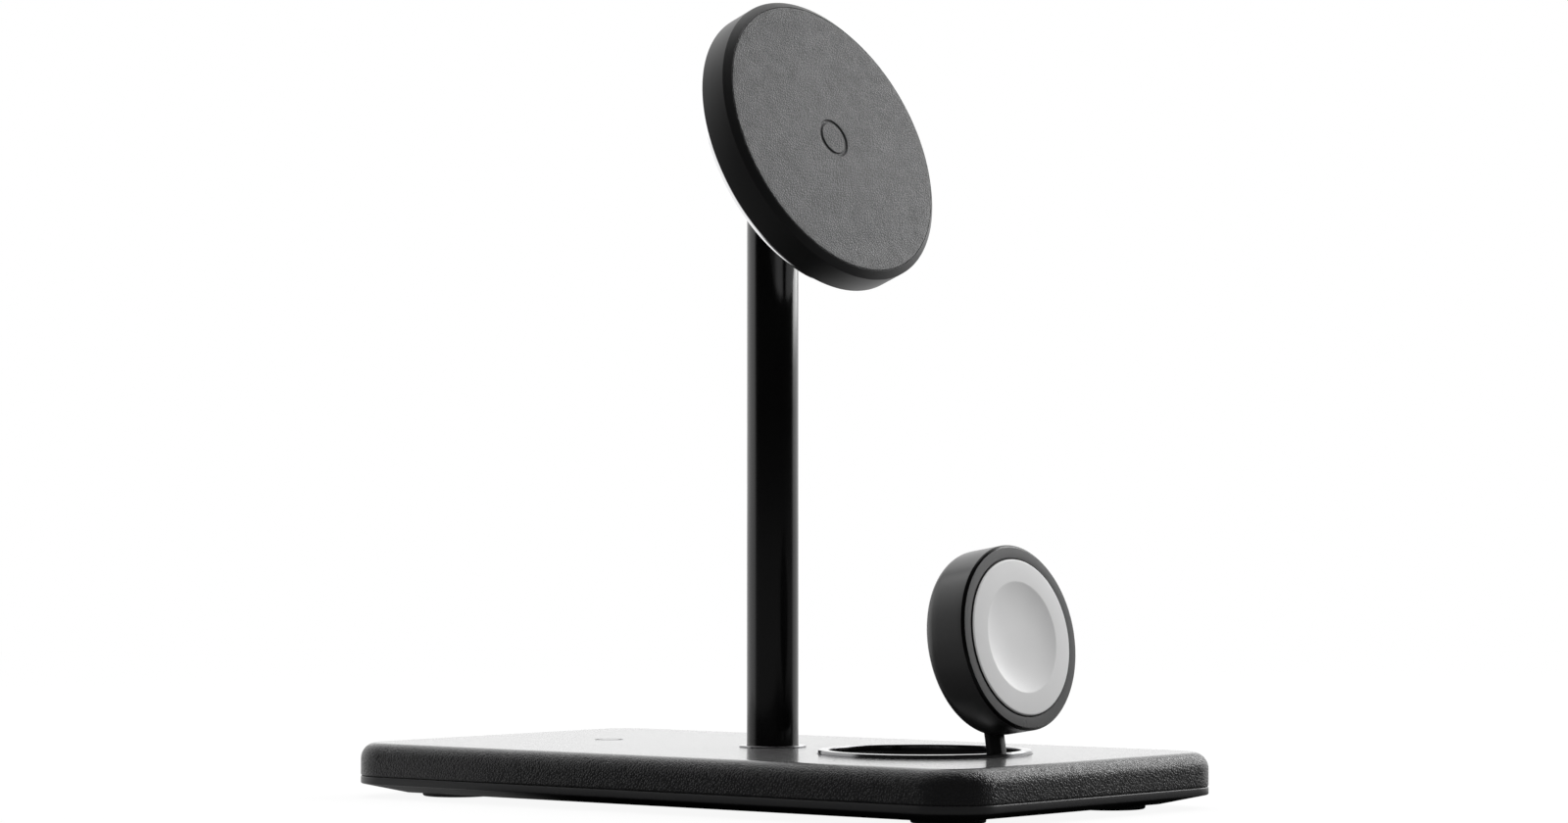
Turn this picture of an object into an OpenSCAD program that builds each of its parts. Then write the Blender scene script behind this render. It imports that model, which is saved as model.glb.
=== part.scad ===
// Three in one wireless charger: a leather-topped base with an earbud pad, a round post
// with a tilting magnetic phone disc, and a watch disc that swings up out of a round pocket.
// X is the width, Y runs from the front (watch end, -Y) to the rear (socket end, +Y), Z is up.
// The origin is on the table under the middle of the base.

/* [Base] */
// Width of the base
base_w = 80.5; // [77:0.5:90]
// Length of the base
base_l = 147.5; // [145:0.5:165]
// Height of the leather top above the table
base_h = 10.2; // [10:0.1:12]
// Corner radius of the base in plan
corner_r = 9.6; // [9.2:0.1:14]
// Rounding along the top edge of the cover
top_round = 3; // [1.5:0.1:3.6]
// Thickness of the cover's top wall
cover_t = 1.4; // [1.2:0.1:1.6]
// Thickness of the cover's side wall
side_t = 1.8; // [1.4:0.1:2.4]
// Height of the seam between cover and band
seam_z = 4; // [3.8:0.1:4.4]
// Height of the smooth band below the seam
band_h = 1.5; // [1:0.1:1.8]
// Thickness of the band's upstand inside the cover
band_lip_t = 1; // [0.8:0.1:1.4]
// How far the band's upstand reaches up inside the cover
band_lip_h = 1.4; // [0.8:0.1:1.8]
// How far the sloping underside draws in
under_draw = 8.6; // [7:0.1:9]
// Thickness of the tray's floor
floor_t = 0.7; // [0.6:0.05:0.8]
// Height of the underside above the table
under_z = 0.7; // [0.6:0.05:0.8]

/* [Feet and screws] */
// Distance of the feet from the base's long sides
foot_side = 16.25; // [14.25:0.5:18.25]
// Distance of the feet from the base's ends
foot_end = 15.25; // [13.75:0.5:16.75]
// Radius of a rubber foot
foot_r = 6.6; // [5:0.1:7]
// How far a foot sits in the tray
foot_sunk = 0.2; // [0.1:0.05:0.3]
// Radius of the case screws' thread
case_screw_r = 1.1; // [0.9:0.05:1.3]
// Length of the case screws under the head
case_screw_l = 5.6; // [4.5:0.1:6.2]

/* [Post] */
// Distance of the post behind the middle of the base
post_y = 0.8; // [0:0.1:3]
// Radius of the post
post_r = 4.8; // [4.4:0.1:5.4]
// Wall of the post's tube
post_wall = 1.2; // [0.8:0.1:1.4]
// Height of the tilt axis above the table
tilt_z = 116.9; // [105:0.5:125]
// Radius of the collar at the post's foot
collar_r = 6.25; // [5.8:0.05:7]
// Height of the collar
collar_h = 0.3; // [0.2:0.05:0.6]
// Radius of the clamp plate under the cover
foot_plate_r = 9; // [8:0.5:10]
// Thickness of the clamp plate
foot_plate_t = 1.8; // [1.4:0.1:2]
// Size of the post's nut across its flats
nut_af = 13; // [12:0.5:15]
// Room between the nut and the ballast
nut_gap = 1; // [0.6:0.1:1.4]

/* [Phone head] */
// Lean of the phone disc from upright, in degrees
head_lean = 21.5; // [10:0.5:40]
// Outer radius of the phone disc
head_r = 28; // [26:0.1:30]
// Thickness of the phone disc
head_t = 8.2; // [7.8:0.1:9.5]
// Width of the bevel round the face
head_bevel = 1.4; // [1:0.1:1.8]
// Depth of the bevel round the face
head_bevel_t = 1.07; // [0.8:0.01:1.4]
// Thickness of the leather pad
pad_t = 1.2; // [0.8:0.1:1.4]
// Depth of the rim's side wall, from the face
rim_depth = 6.4; // [6:0.1:7]
// How far the back shell is smaller than the rim
back_step = 0.7; // [0.4:0.1:1.2]
// Rounding round the back shell
back_round = 1.6; // [1:0.1:1.8]
// Distance of the disc's back from the tilt axis
neck_l = 7.5; // [7:0.1:9]
// Outer radius of the ring pressed into the leather
mark_r = 3.6; // [2.5:0.1:5]

/* [Tilt hinge] */
// Width of the lug between the ears
lug_w = 4; // [3.2:0.1:4.2]
// Radius of the lug's eye
eye_r = 3.4; // [3:0.1:3.8]
// Radius of the tilt pin
tilt_pin_r = 1.2; // [1:0.05:1.5]
// Thickness of a friction washer
washer_t = 0.4; // [0.2:0.05:0.5]
// Half the depth of the neck between eye and disc
neck_half = 2.4; // [2:0.1:2.8]

/* [Watch disc] */
// Gap between the watch disc's housing and the pocket's wall
disc_gap = 0.75; // [0.6:0.05:1.4]
// Thickness of the housing
disc_t = 9.4; // [9:0.1:10]
// Rounding round the housing's back
disc_round = 2.5; // [2:0.1:3]
// Width of the housing's front ring round the charging face
front_ring_w = 2.65; // [2.25:0.05:3.15]
// How far the charging face stands proud
face_proud = 0.35; // [0.2:0.05:0.6]
// Width of the charging face's flat margin round the dish
dish_margin = 4; // [3:0.1:5]
// Depth of the dish
dish_depth = 0.8; // [0.4:0.05:0.9]
// Lean of the raised disc from upright, in degrees
disc_lean = 9.2; // [6:0.2:12]

/* [Watch pocket and hinge] */
// How far the pocket's middle sits behind the middle of the base's front half
pocket_back = 1.975; // [1:0.025:2.8]
// Inner radius of the pocket
pocket_r = 17.4; // [17.2:0.05:17.6]
// Width of the polished ring
ring_w = 1.94; // [1.6:0.02:2.6]
// How far the ring stands above the leather
ring_h = 0.7; // [0.4:0.05:1]
// Wall of the pocket's liner
liner_t = 0.8; // [0.6:0.05:0.9]
// Distance of the hinge in front of the polished ring
hinge_out = 3.42; // [3.3:0.02:3.8]
// Leather and cover left above the hinge
hinge_skin = 0.4; // [0.35:0.05:0.5]
// Radius of the hinge pin
arm_pin_r = 0.5; // [0.4:0.05:0.6]
// Radius of the arm's eye round the pin
arm_eye_r = 1; // [0.95:0.01:1.1]
// Width of the arm
arm_w = 4; // [3.6:0.1:5]
// Depth of the arm's bar
arm_d = 2.4; // [2:0.1:2.6]
// Bevel along the arm's front edges
arm_bevel = 1.2; // [0.8:0.1:1.4]
// Thickness of a hinge ear
ear_t = 2; // [1.4:0.1:2.6]

/* [Inside] */
// Thickness of the steel ballast plate
ballast_t = 1.6; // [1.2:0.1:1.8]
// Thickness of the circuit boards
board_t = 0.8; // [0.6:0.05:1]
// Distance of the earbud coil from the base's rear end
bud_end_gap = 13.25; // [11:0.25:16]
// Distance of the earbud coil from the post's clamp plate
bud_post_gap = 12.7; // [10:0.1:16]
// Radius of the head's lead
lead_r = 1.1; // [0.8:0.05:1.2]
// Number of magnets round the phone disc
magnet_count = 18; // [12:1:24]

/* [Fits] */
// Gap between parts that move past each other
move_gap = 0.3; // [0.25:0.01:0.35]
// Radial gap of a pin in the eye that turns on it
pin_gap = 0.05; // [0.02:0.01:0.08]
// Gap round parts that drop into a seat
seat_gap = 0.1; // [0.05:0.01:0.15]

/* [Hidden] */
$fn = 96;

// Places of the feet, and heights through the base from the table up
foot_x = base_w / 2 - foot_side;
foot_y = base_l / 2 - foot_end;
tray_floor_z = under_z + floor_t;
band_z = seam_z - band_h;
cover_under_z = base_h - cover_t;
ballast_z = tray_floor_z;
ballast_top_z = ballast_z + ballast_t;
ring_top_z = base_h + ring_h;

// The tray's rim and the slope inside it
tray_rim_w = side_t + band_lip_t + 0.4;
tray_inner_draw = under_draw * 0.62;

// The tray's screw towers and their screws
tower_r = 4.4;
tower_top_z = band_z;
screw_head_r = 2.1;
screw_head_t = 1;
foot_top_z = under_z + foot_sunk;
screw_seat_z = foot_top_z + screw_head_t;
screw_tip_z = screw_seat_z + case_screw_l;
cover_boss_r = 3;
screw_slack = 0.05;

// The pocket, the hinge of the watch arm and the disc as it lies folded
pocket_c = pocket_back - base_l / 4;
liner_r = pocket_r + liner_t;
ring_r = pocket_r + ring_w;
hinge_reach = ring_r + hinge_out;
ring_seat_z = base_h - hinge_skin;
disc_back_z = tray_floor_z + move_gap;
hinge_gap = 0.15;
hinge_y = pocket_c - hinge_reach;
hinge_z = base_h - hinge_skin - hinge_gap - arm_eye_r;
fold = 90 - disc_lean;
arm_slot_w = arm_w + 2 * move_gap;
ear_gap = 0.25;
ear_in = arm_w / 2 + ear_gap;
ear_out = ear_in + ear_t;
ear_half_y = 1;
bracket_front = hinge_y - 4.6;
bracket_web_y = hinge_y - 2.2;
bracket_web_z = tray_floor_z + 2.2;
bracket_lug_out = ear_out + 4;
bracket_screw_x = ear_out + 2;
bracket_screw_y = (bracket_front + bracket_web_y) / 2 + 0.3;
bracket_screw_r = 0.8;
notch_depth = 0.7;

// The disc's inside, measured from its back
disc_r = pocket_r - disc_gap;
face_r = disc_r - front_ring_w;
dish_r = face_r - dish_margin;
disc_bevel = 0.3;
face_gap = 0.25;
face_t = 1.6;
coil_t = 1.4;
ferrite_t = 0.6;
face_seat = disc_t - face_t;
coil_seat = face_seat - coil_t;
ferrite_seat = coil_seat - ferrite_t;
disc_floor = arm_d + 0.8;
disc_inner_r = face_r - 1.2;
disc_coil_r = face_r - 0.6;
disc_ferrite_r = face_r - 0.2;
disc_magnet_r = 5.5;
disc_coil_in_r = disc_magnet_r + 0.9;
disc_chip_w = 6;
disc_chip_h = 0.8;
face_edge = 0.6;
tang_l = 7;

// The post's parts
post_bore_r = post_r - post_wall;
clamp_z = cover_under_z - foot_plate_t;
nut_z = ballast_top_z + nut_gap;
nut_h = clamp_z - nut_z;
tube_foot_z = nut_z - 0.2;
slot_half = lug_w / 2 + washer_t;
slot_floor_z = tilt_z - eye_r - move_gap;
knuckle_z = slot_floor_z - 4;
spigot_l = 8;
spigot_r = post_bore_r - seat_gap / 2;
washer_r = eye_r - 0.2;
lead_bend_r = 2.4;
lead_z = ballast_z + lead_r + 0.05;
lead_run = 12;
lead_end_y = post_y + lead_run;
lead_top_gap = 0.4;
plug_l = 6;
lead_slot_w = 2 * lead_r + 1.4;

// The phone disc, measured from its back
head_face_r = head_r - head_bevel;
rim_back = head_t - rim_depth;
back_r = head_r - back_step;
back_wall = 1.2;
rim_wall = 1.6;
rim_bore_r = head_r - rim_wall;
lug_plate_r = 9;
lug_plate_t = 1;
magnet_out_r = rim_bore_r - 0.4;
magnet_in_r = magnet_out_r - 3.8;
magnet_t = 2;
magnet_gap_deg = 2;
head_coil_out_r = magnet_in_r - 0.8;
head_coil_in_r = 10;
head_ferrite_r = head_coil_out_r + 0.4;
head_board_r = head_coil_out_r - 1.4;
head_post_ring = head_board_r - 4;
head_post_r = 1.5;
head_stud_ring = head_board_r - 2;
head_stud_r = 1.2;
lug_board_gap = 0.9;
pad_seat = head_t - pad_t;
coil_face_t = 1.2;
lug_screw_r = 0.8;
lug_screw_ring = 6.6;
mark_w = 0.5;
mark_depth = 0.25;

// The earbud pad's coil, the board and the socket
bud_coil_r = (base_l / 2 - bud_end_gap - bud_post_gap - foot_plate_r - post_y) / 2;
bud_y = base_l / 2 - bud_end_gap - bud_coil_r;
bud_coil_t = 1;
bud_ferrite_t = 0.6;
bud_winding_w = 11;
bud_coil_in_r = bud_coil_r - bud_winding_w;
board_z = ballast_top_z + 0.6;
board_top_z = board_z + board_t;
board_y0 = lead_end_y + 1.5;
board_half_w = 20;
board_stand_r = 1.6;
board_stand_in = 6;
front_stand_y = board_y0 + 4;
chip_w = 8;
choke_w = 6;
choke_x = 12;
driver_w = 5;
can_x = 13;
can_r = 2;
bead_w = 1.6;
bead_step = 4;
usb_w = 8.94;
usb_h = 3.2;
usb_l = 7.3;
usb_wall = 0.3;
usb_y = base_l / 2 - 0.6;
board_y1 = base_l / 2 - side_t - band_lip_t - 0.6;
usb_z = board_top_z + usb_h / 2;
usb_cut = 0.8;
rear_stand_y = board_y1 - 14.35;
tongue_w = 6.6;
tongue_t = 0.7;

// One half of a slab's section, with its upper outer edge rounded
module rounded_half(reach, z0, z1, r) {
    translate([0, z0]) square([reach - r, z1 - z0]);
    translate([0, z0]) square([reach, z1 - z0 - r]);
    translate([reach - r, z1 - r]) circle(r);
}

// One half of a slab's section, straight up to z1 and drawn in at the bottom
module drawn_half(reach, z0, z1, draw) {
    polygon([[0, z0], [reach - draw, z0], [reach, z1], [0, z1]]);
}

// A slab with round corners in plan, from the half section given as its child, which is
// spun at the corners and run along the sides; the child reads how far it reaches from $reach
module slab(w, l, r) {
    for (sx = [-1, 1], sy = [-1, 1])
        translate([sx * (w / 2 - r), sy * (l / 2 - r), 0]) rotate_extrude() let ($reach = r) children();
    rotate([90, 0, 0]) linear_extrude(l - 2 * r, center = true) let ($reach = w / 2) mirrored() children();
    rotate([90, 0, 90]) linear_extrude(w - 2 * r, center = true) let ($reach = l / 2) mirrored() children();
}

// A half section and its mirror image
module mirrored() {
    children();
    mirror([1, 0]) children();
}

// A flat plate with round corners
module plate(w, l, r, h) {
    slab(w, l, r) square([$reach, h]);
}

// Copies at the four screw and foot places
module at_feet() {
    for (sx = [-1, 1], sy = [-1, 1]) translate([sx * foot_x, sy * foot_y, 0]) children();
}

// Copies on both sides of the middle plane
module both_sides() {
    children();
    mirror([1, 0, 0]) children();
}

// A round ring
module ring(r_out, r_in, h) {
    difference() {
        cylinder(r = r_out, h = h);
        translate([0, 0, -1]) cylinder(r = r_in, h = h + 2);
    }
}

// A pressed ring mark, to be cut out of a face at z = 0
module ring_mark(r) {
    translate([0, 0, -mark_depth]) ring(r, r - mark_w, mark_depth + 1);
}

// A bar across the width with round ends, as a socket's mouth has
module mouth(w, h, l) {
    rotate([-90, 0, 0]) linear_extrude(l) {
        square([w - h, h], center = true);
        for (s = [-1, 1]) translate([s * (w - h) / 2, 0]) circle(h / 2);
    }
}

// A cylinder along X through the middle plane
module across(r, w) {
    rotate([0, 90, 0]) cylinder(r = r, h = w, center = true);
}

// Puts what is modelled lying folded in the pocket into its raised place
module raised() {
    translate([0, hinge_y, hinge_z]) rotate([fold, 0, 0]) translate([0, -hinge_y, -hinge_z]) children();
}

// Puts what is modelled round the back of the phone disc, facing up, on its neck
module on_head() {
    translate([0, post_y, tilt_z]) rotate([90 - head_lean, 0, 0]) translate([0, 0, neck_l]) children();
}

// Room in the base for the folded arm and the hinge's ears, below the skin
module arm_room(w, y0, y1, z0) {
    translate([-w / 2, y0, z0]) cube([w, y1 - y0, base_h - hinge_skin - z0]);
}

// The leather-covered shell, open below
module base_cover() {
    color([0.07, 0.07, 0.075]) difference() {
        union() {
            difference() {
                slab(base_w, base_l, corner_r) rounded_half($reach, seam_z, base_h, top_round);
                slab(base_w - 2 * side_t, base_l - 2 * side_t, corner_r - side_t)
                    rounded_half($reach, seam_z - 1, cover_under_z, top_round / 2);
            }
            at_feet() translate([0, 0, tower_top_z]) cylinder(r = cover_boss_r, h = base_h - 1 - tower_top_z);
            translate([0, pocket_c, seam_z]) cylinder(r = liner_r + 1.6, h = base_h - 1 - seam_z);
        }
        at_feet() translate([0, 0, tower_top_z - 1])
            cylinder(r = case_screw_r + screw_slack, h = screw_tip_z + 0.3 - tower_top_z + 1);
        translate([0, pocket_c, 0]) cylinder(r = liner_r + seat_gap, h = base_h + 1);
        translate([0, pocket_c, ring_seat_z]) cylinder(r = ring_r + seat_gap, h = 2);
        arm_room(2 * ear_out + 2 * move_gap, hinge_y - ear_half_y - move_gap, pocket_c - pocket_r, 0);
        translate([0, post_y, 0]) cylinder(r = post_r + seat_gap, h = base_h + 1);
        translate([0, bud_y, base_h]) ring_mark(mark_r * 0.75);
        translate([0, usb_y - usb_l, usb_z]) mouth(usb_w + 2 * seat_gap, usb_h + 2 * seat_gap, usb_l + side_t);
    }
}

// The smooth band under the seam, with an upstand inside the cover
module trim_band() {
    lip_w = base_w - 2 * side_t - 2 * seat_gap;
    lip_l = base_l - 2 * side_t - 2 * seat_gap;
    lip_r = corner_r - side_t - seat_gap;
    lip_h = band_h + band_lip_h;
    color([0.2, 0.2, 0.21]) difference() {
        union() {
            translate([0, 0, band_z]) plate(base_w, base_l, corner_r, band_h);
            translate([0, 0, band_z]) plate(lip_w, lip_l, lip_r, lip_h);
        }
        translate([0, 0, band_z - 1])
            plate(lip_w - 2 * band_lip_t, lip_l - 2 * band_lip_t, lip_r - band_lip_t, lip_h + 2);
        translate([0, usb_y - usb_l, usb_z]) mouth(usb_w + 2 * usb_cut, usb_h + 2 * seat_gap, usb_l);
    }
}

// The room inside the tray, straight up from its rim to z_top
module tray_room(z_top) {
    slab(base_w - 2 * tray_rim_w, base_l - 2 * tray_rim_w, corner_r - tray_rim_w)
        polygon([[0, tray_floor_z], [$reach - tray_inner_draw, tray_floor_z], [$reach, band_z], [$reach, z_top], [0, z_top]]);
}

// The tray that closes the base, with its sloping sides and screw towers
module bottom_tray() {
    color([0.09, 0.09, 0.095]) difference() {
        union() {
            difference() {
                slab(base_w - 0.5, base_l - 0.5, corner_r - 0.25) drawn_half($reach, under_z, band_z, under_draw);
                tray_room(band_z + 1);
            }
            intersection() {
                at_feet() translate([0, 0, under_z]) cylinder(r = tower_r, h = tower_top_z - under_z);
                slab(base_w - 0.5, base_l - 0.5, corner_r - 0.25) drawn_half($reach, under_z, band_z, under_draw);
            }
        }
        at_feet() {
            translate([0, 0, -1]) cylinder(r = foot_r + seat_gap, h = foot_top_z + 1);
            cylinder(r = screw_head_r + seat_gap, h = screw_seat_z);
            cylinder(r = case_screw_r + screw_slack, h = tower_top_z + 1);
        }
    }
}

// Four rubber feet in their seats
module rubber_feet() {
    color([0.03, 0.03, 0.03]) at_feet() rotate_extrude() {
        square([foot_r - 0.4, foot_top_z]);
        translate([0, 0.4]) square([foot_r, foot_top_z - 0.4]);
        translate([foot_r - 0.4, 0.4]) circle(0.4);
    }
}

// Four case screws, up through the tray into the cover
module case_screws() {
    color([0.7, 0.7, 0.72]) at_feet() {
        difference() {
            translate([0, 0, foot_top_z]) cylinder(r = screw_head_r, h = screw_head_t);
            translate([0, 0, foot_top_z - 1]) cylinder(r = 1, h = 1.5, $fn = 6);
        }
        translate([0, 0, foot_top_z]) cylinder(r = case_screw_r, h = screw_tip_z - foot_top_z);
    }
}

// The steel plate that weighs the base down, cut out round the pocket, hinge, post and lead
module ballast_plate() {
    plate_w = base_w - 2 * (under_draw + 2.4);
    plate_l = base_l - 2 * (under_draw + 2.4);
    color([0.55, 0.55, 0.57]) difference() {
        translate([0, 0, ballast_z]) plate(plate_w, plate_l, 4, ballast_t);
        translate([0, 0, -1]) {
            at_feet() cylinder(r = tower_r + 0.5, h = 20);
            translate([0, pocket_c, 0]) cylinder(r = liner_r + 0.6, h = 20);
            translate([-bracket_lug_out - 0.6, -base_l, 0]) cube([2 * bracket_lug_out + 1.2, base_l + pocket_c - 10, 20]);
            translate([-lead_slot_w / 2, post_y - lead_slot_w / 2, 0])
                cube([lead_slot_w, lead_end_y - post_y + plug_l + lead_slot_w, 20]);
            translate([-lead_slot_w, lead_end_y - 1, 0]) cube([2 * lead_slot_w, plug_l + 2, 20]);
        }
    }
}

// The main board on four standing pads over the ballast
module main_board() {
    color([0.03, 0.2, 0.1]) {
        difference() {
            translate([-board_half_w, board_y0, board_z]) cube([2 * board_half_w, board_y1 - board_y0, board_t]);
            at_feet() cylinder(r = cover_boss_r + 0.5, h = 20);
        }
        for (sx = [-1, 1], y = [front_stand_y, rear_stand_y])
            translate([sx * (board_half_w - board_stand_in), y, ballast_top_z])
                cylinder(r = board_stand_r, h = board_z - ballast_top_z);
    }
}

// Chips, inductors and capacitors on the main board
module board_parts() {
    chip_y = board_y0 + 5.7;
    choke_y = board_y0 + 3.7;
    driver_y = board_y0 + 15.7;
    bead_y = board_y0 + 25.7;
    guard_y = board_y1 - 12.35;
    can_y = board_y1 - 6.35;
    guard_w = driver_w - can_r;
    color([0.15, 0.15, 0.16]) translate([0, 0, board_top_z]) {
        translate([-chip_w / 2, chip_y, 0]) cube([chip_w, chip_w, chip_w / 9]);
        for (s = [-1, 1]) {
            translate([s * choke_x - choke_w / 2, choke_y, 0]) cube([choke_w, choke_w, choke_w / 4]);
            translate([s * choke_x - driver_w / 2, driver_y, 0]) cube([driver_w, driver_w, driver_w / 6]);
            translate([s * can_x, can_y, 0]) cylinder(r = can_r, h = can_r);
            translate([s * (usb_w / 2 + guard_w) - guard_w / 2, guard_y, 0]) cube([guard_w, guard_w, guard_w / 3]);
        }
        for (i = [-3:3]) translate([i * bead_step - bead_w / 2, bead_y, 0]) cube([bead_w, bead_w / 2, bead_w / 3]);
    }
}

// The socket's metal shell, open to the rear
module usb_socket() {
    color([0.75, 0.75, 0.77]) translate([0, usb_y - usb_l, usb_z]) difference() {
        mouth(usb_w, usb_h, usb_l);
        translate([0, 1, 0]) mouth(usb_w - 2 * usb_wall, usb_h - 2 * usb_wall, usb_l);
    }
}

// The contact tongue inside the socket
module usb_tongue() {
    color([0.05, 0.05, 0.05]) translate([-tongue_w / 2, usb_y - usb_l + 1, usb_z - tongue_t / 2])
        cube([tongue_w, usb_l - 2, tongue_t]);
}

// The coil under the earbud pad
module earbud_coil() {
    color([0.72, 0.4, 0.2]) translate([0, bud_y, cover_under_z - bud_coil_t]) ring(bud_coil_r, bud_coil_in_r, bud_coil_t);
}

// The ferrite sheet under the earbud coil
module earbud_ferrite() {
    color([0.2, 0.2, 0.22]) translate([0, bud_y, cover_under_z - bud_coil_t - bud_ferrite_t])
        cylinder(r = bud_coil_r + 0.6, h = bud_ferrite_t);
}

// The polished ring round the pocket, notched in front for the raised arm
module pocket_ring() {
    color([0.1, 0.1, 0.11]) difference() {
        translate([0, pocket_c, 0]) rotate_extrude() difference() {
            translate([pocket_r, ring_seat_z]) square([ring_r - pocket_r, ring_top_z - ring_seat_z]);
            translate([ring_r, ring_top_z]) rotate(45) square(0.3, center = true);
            translate([pocket_r, ring_top_z]) rotate(45) square(0.3, center = true);
        }
        translate([-arm_slot_w / 2, pocket_c - pocket_r - notch_depth, 0]) cube([arm_slot_w, pocket_r, 20]);
    }
}

// The pocket's wall, slotted in front for the arm
module pocket_liner() {
    color([0.05, 0.05, 0.05]) difference() {
        translate([0, pocket_c, tray_floor_z]) ring(liner_r, pocket_r, ring_seat_z - tray_floor_z);
        translate([-arm_slot_w / 2, pocket_c - liner_r - 1, 0]) cube([arm_slot_w, pocket_r, 20]);
    }
}

// The steel bracket whose two ears hold the arm's hinge pin
module hinge_bracket() {
    color([0.5, 0.5, 0.52]) intersection() {
        tray_room(base_h);
        difference() {
            union() {
                both_sides() translate([ear_in, 0, 0]) rotate([90, 0, 90]) linear_extrude(ear_t) {
                    polygon([[bracket_front, tray_floor_z], [hinge_y + ear_half_y, tray_floor_z],
                        [hinge_y + ear_half_y, hinge_z], [hinge_y - ear_half_y, hinge_z],
                        [bracket_web_y, bracket_web_z], [bracket_front, bracket_web_z]]);
                    translate([hinge_y, hinge_z]) circle(ear_half_y);
                }
                translate([-ear_in - 1, bracket_front, tray_floor_z])
                    cube([2 * ear_in + 2, bracket_web_y - bracket_front, bracket_web_z - tray_floor_z]);
                both_sides() translate([ear_out - 1, bracket_front, tray_floor_z])
                    cube([bracket_lug_out - ear_out + 1, bracket_web_y - bracket_front + 1, 1.2]);
            }
            translate([0, hinge_y, hinge_z]) across(arm_pin_r, 4 * ear_out);
            both_sides() translate([bracket_screw_x, bracket_screw_y, 0]) cylinder(r = bracket_screw_r, h = 20);
        }
    }
}

// Two screws that hold the bracket down
module bracket_screws() {
    color([0.7, 0.7, 0.72]) both_sides() translate([bracket_screw_x, bracket_screw_y, tray_floor_z]) {
        cylinder(r = bracket_screw_r - screw_slack, h = 1.5);
        translate([0, 0, 1.2]) cylinder(r = 1.5, h = 0.9);
    }
}

// The pin that the watch arm turns on
module hinge_pin() {
    color([0.75, 0.75, 0.77]) translate([0, hinge_y, hinge_z]) across(arm_pin_r, 2 * ear_out);
}

// The post's tube
module post_tube() {
    color([0.04, 0.04, 0.045]) translate([0, post_y, tube_foot_z]) ring(post_r, post_bore_r, knuckle_z - tube_foot_z);
}

// The thin bright collar on the leather
module post_collar() {
    color([0.3, 0.3, 0.31]) translate([0, post_y, base_h]) ring(collar_r, post_r + seat_gap, collar_h);
}

// The clamp plate under the cover
module post_clamp_plate() {
    color([0.5, 0.5, 0.52]) translate([0, post_y, clamp_z]) ring(foot_plate_r, post_r + seat_gap, foot_plate_t);
}

// The nut that pulls the post down against the clamp plate
module post_nut() {
    color([0.65, 0.65, 0.67]) translate([0, post_y, nut_z]) difference() {
        cylinder(r = nut_af / sqrt(3), h = nut_h, $fn = 6);
        translate([0, 0, -1]) cylinder(r = post_r + screw_slack, h = nut_h + 2);
    }
}

// The top of the post: a round block with a slot between two ears, and a spigot in the tube
module post_knuckle() {
    color([0.04, 0.04, 0.045]) translate([0, post_y, 0]) difference() {
        union() {
            translate([0, 0, knuckle_z]) cylinder(r = post_r, h = tilt_z - knuckle_z);
            intersection() {
                translate([0, 0, tilt_z - 1]) cylinder(r = post_r, h = 20);
                translate([0, 0, tilt_z]) across(post_r, 20);
            }
            translate([0, 0, knuckle_z - spigot_l]) cylinder(r = spigot_r, h = spigot_l + 1);
        }
        translate([-slot_half, -20, slot_floor_z]) cube([2 * slot_half, 40, 20]);
        translate([0, 0, tilt_z]) across(tilt_pin_r, 20);
        translate([0, 0, knuckle_z - spigot_l - 1]) cylinder(r = lead_r + 0.15, h = 20);
    }
}

// The pin through the ears and the lug
module tilt_pin() {
    pin_w = 2 * (post_r - 0.8);
    color([0.75, 0.75, 0.77]) translate([0, post_y, tilt_z]) across(tilt_pin_r, pin_w);
}

// The lead to the phone disc: up the tube, with an elbow below it and a run to the board
module head_lead() {
    color([0.06, 0.06, 0.06]) {
        translate([0, post_y, lead_z + lead_bend_r])
            cylinder(r = lead_r, h = slot_floor_z - lead_top_gap - lead_z - lead_bend_r);
        translate([0, post_y + lead_bend_r, lead_z + lead_bend_r]) rotate([0, 0, 180]) rotate([90, 0, 90])
            rotate_extrude(angle = -90) translate([lead_bend_r, 0]) circle(lead_r);
        translate([0, post_y + lead_bend_r, lead_z]) rotate([-90, 0, 0])
            cylinder(r = lead_r, h = lead_end_y - post_y - lead_bend_r);
    }
}

// The plug that joins the lead to the underside of the board
module lead_plug() {
    plug_w = 2 * lead_slot_w - 1.4;
    color([0.85, 0.83, 0.78]) translate([-plug_w / 2, lead_end_y, ballast_z]) cube([plug_w, plug_l, board_z - ballast_z]);
}

// The leather pad of the phone disc, with a plain pressed ring
module head_pad() {
    color([0.16, 0.16, 0.165]) on_head() difference() {
        translate([0, 0, pad_seat]) cylinder(r = head_face_r - seat_gap, h = pad_t);
        translate([0, 0, head_t]) ring_mark(mark_r);
    }
}

// The rim round the phone disc, bevelled towards the face
module head_rim() {
    color([0.06, 0.06, 0.065]) on_head() rotate_extrude() difference() {
        polygon([[rim_bore_r, rim_back], [head_r, rim_back], [head_r, head_t - head_bevel_t],
            [head_face_r, head_t], [rim_bore_r - 1, head_t], [rim_bore_r - 1, pad_seat - 0.8], [rim_bore_r, pad_seat - 0.8]]);
        translate([0, pad_seat]) square([head_face_r, pad_t + 1]);
    }
}

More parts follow.
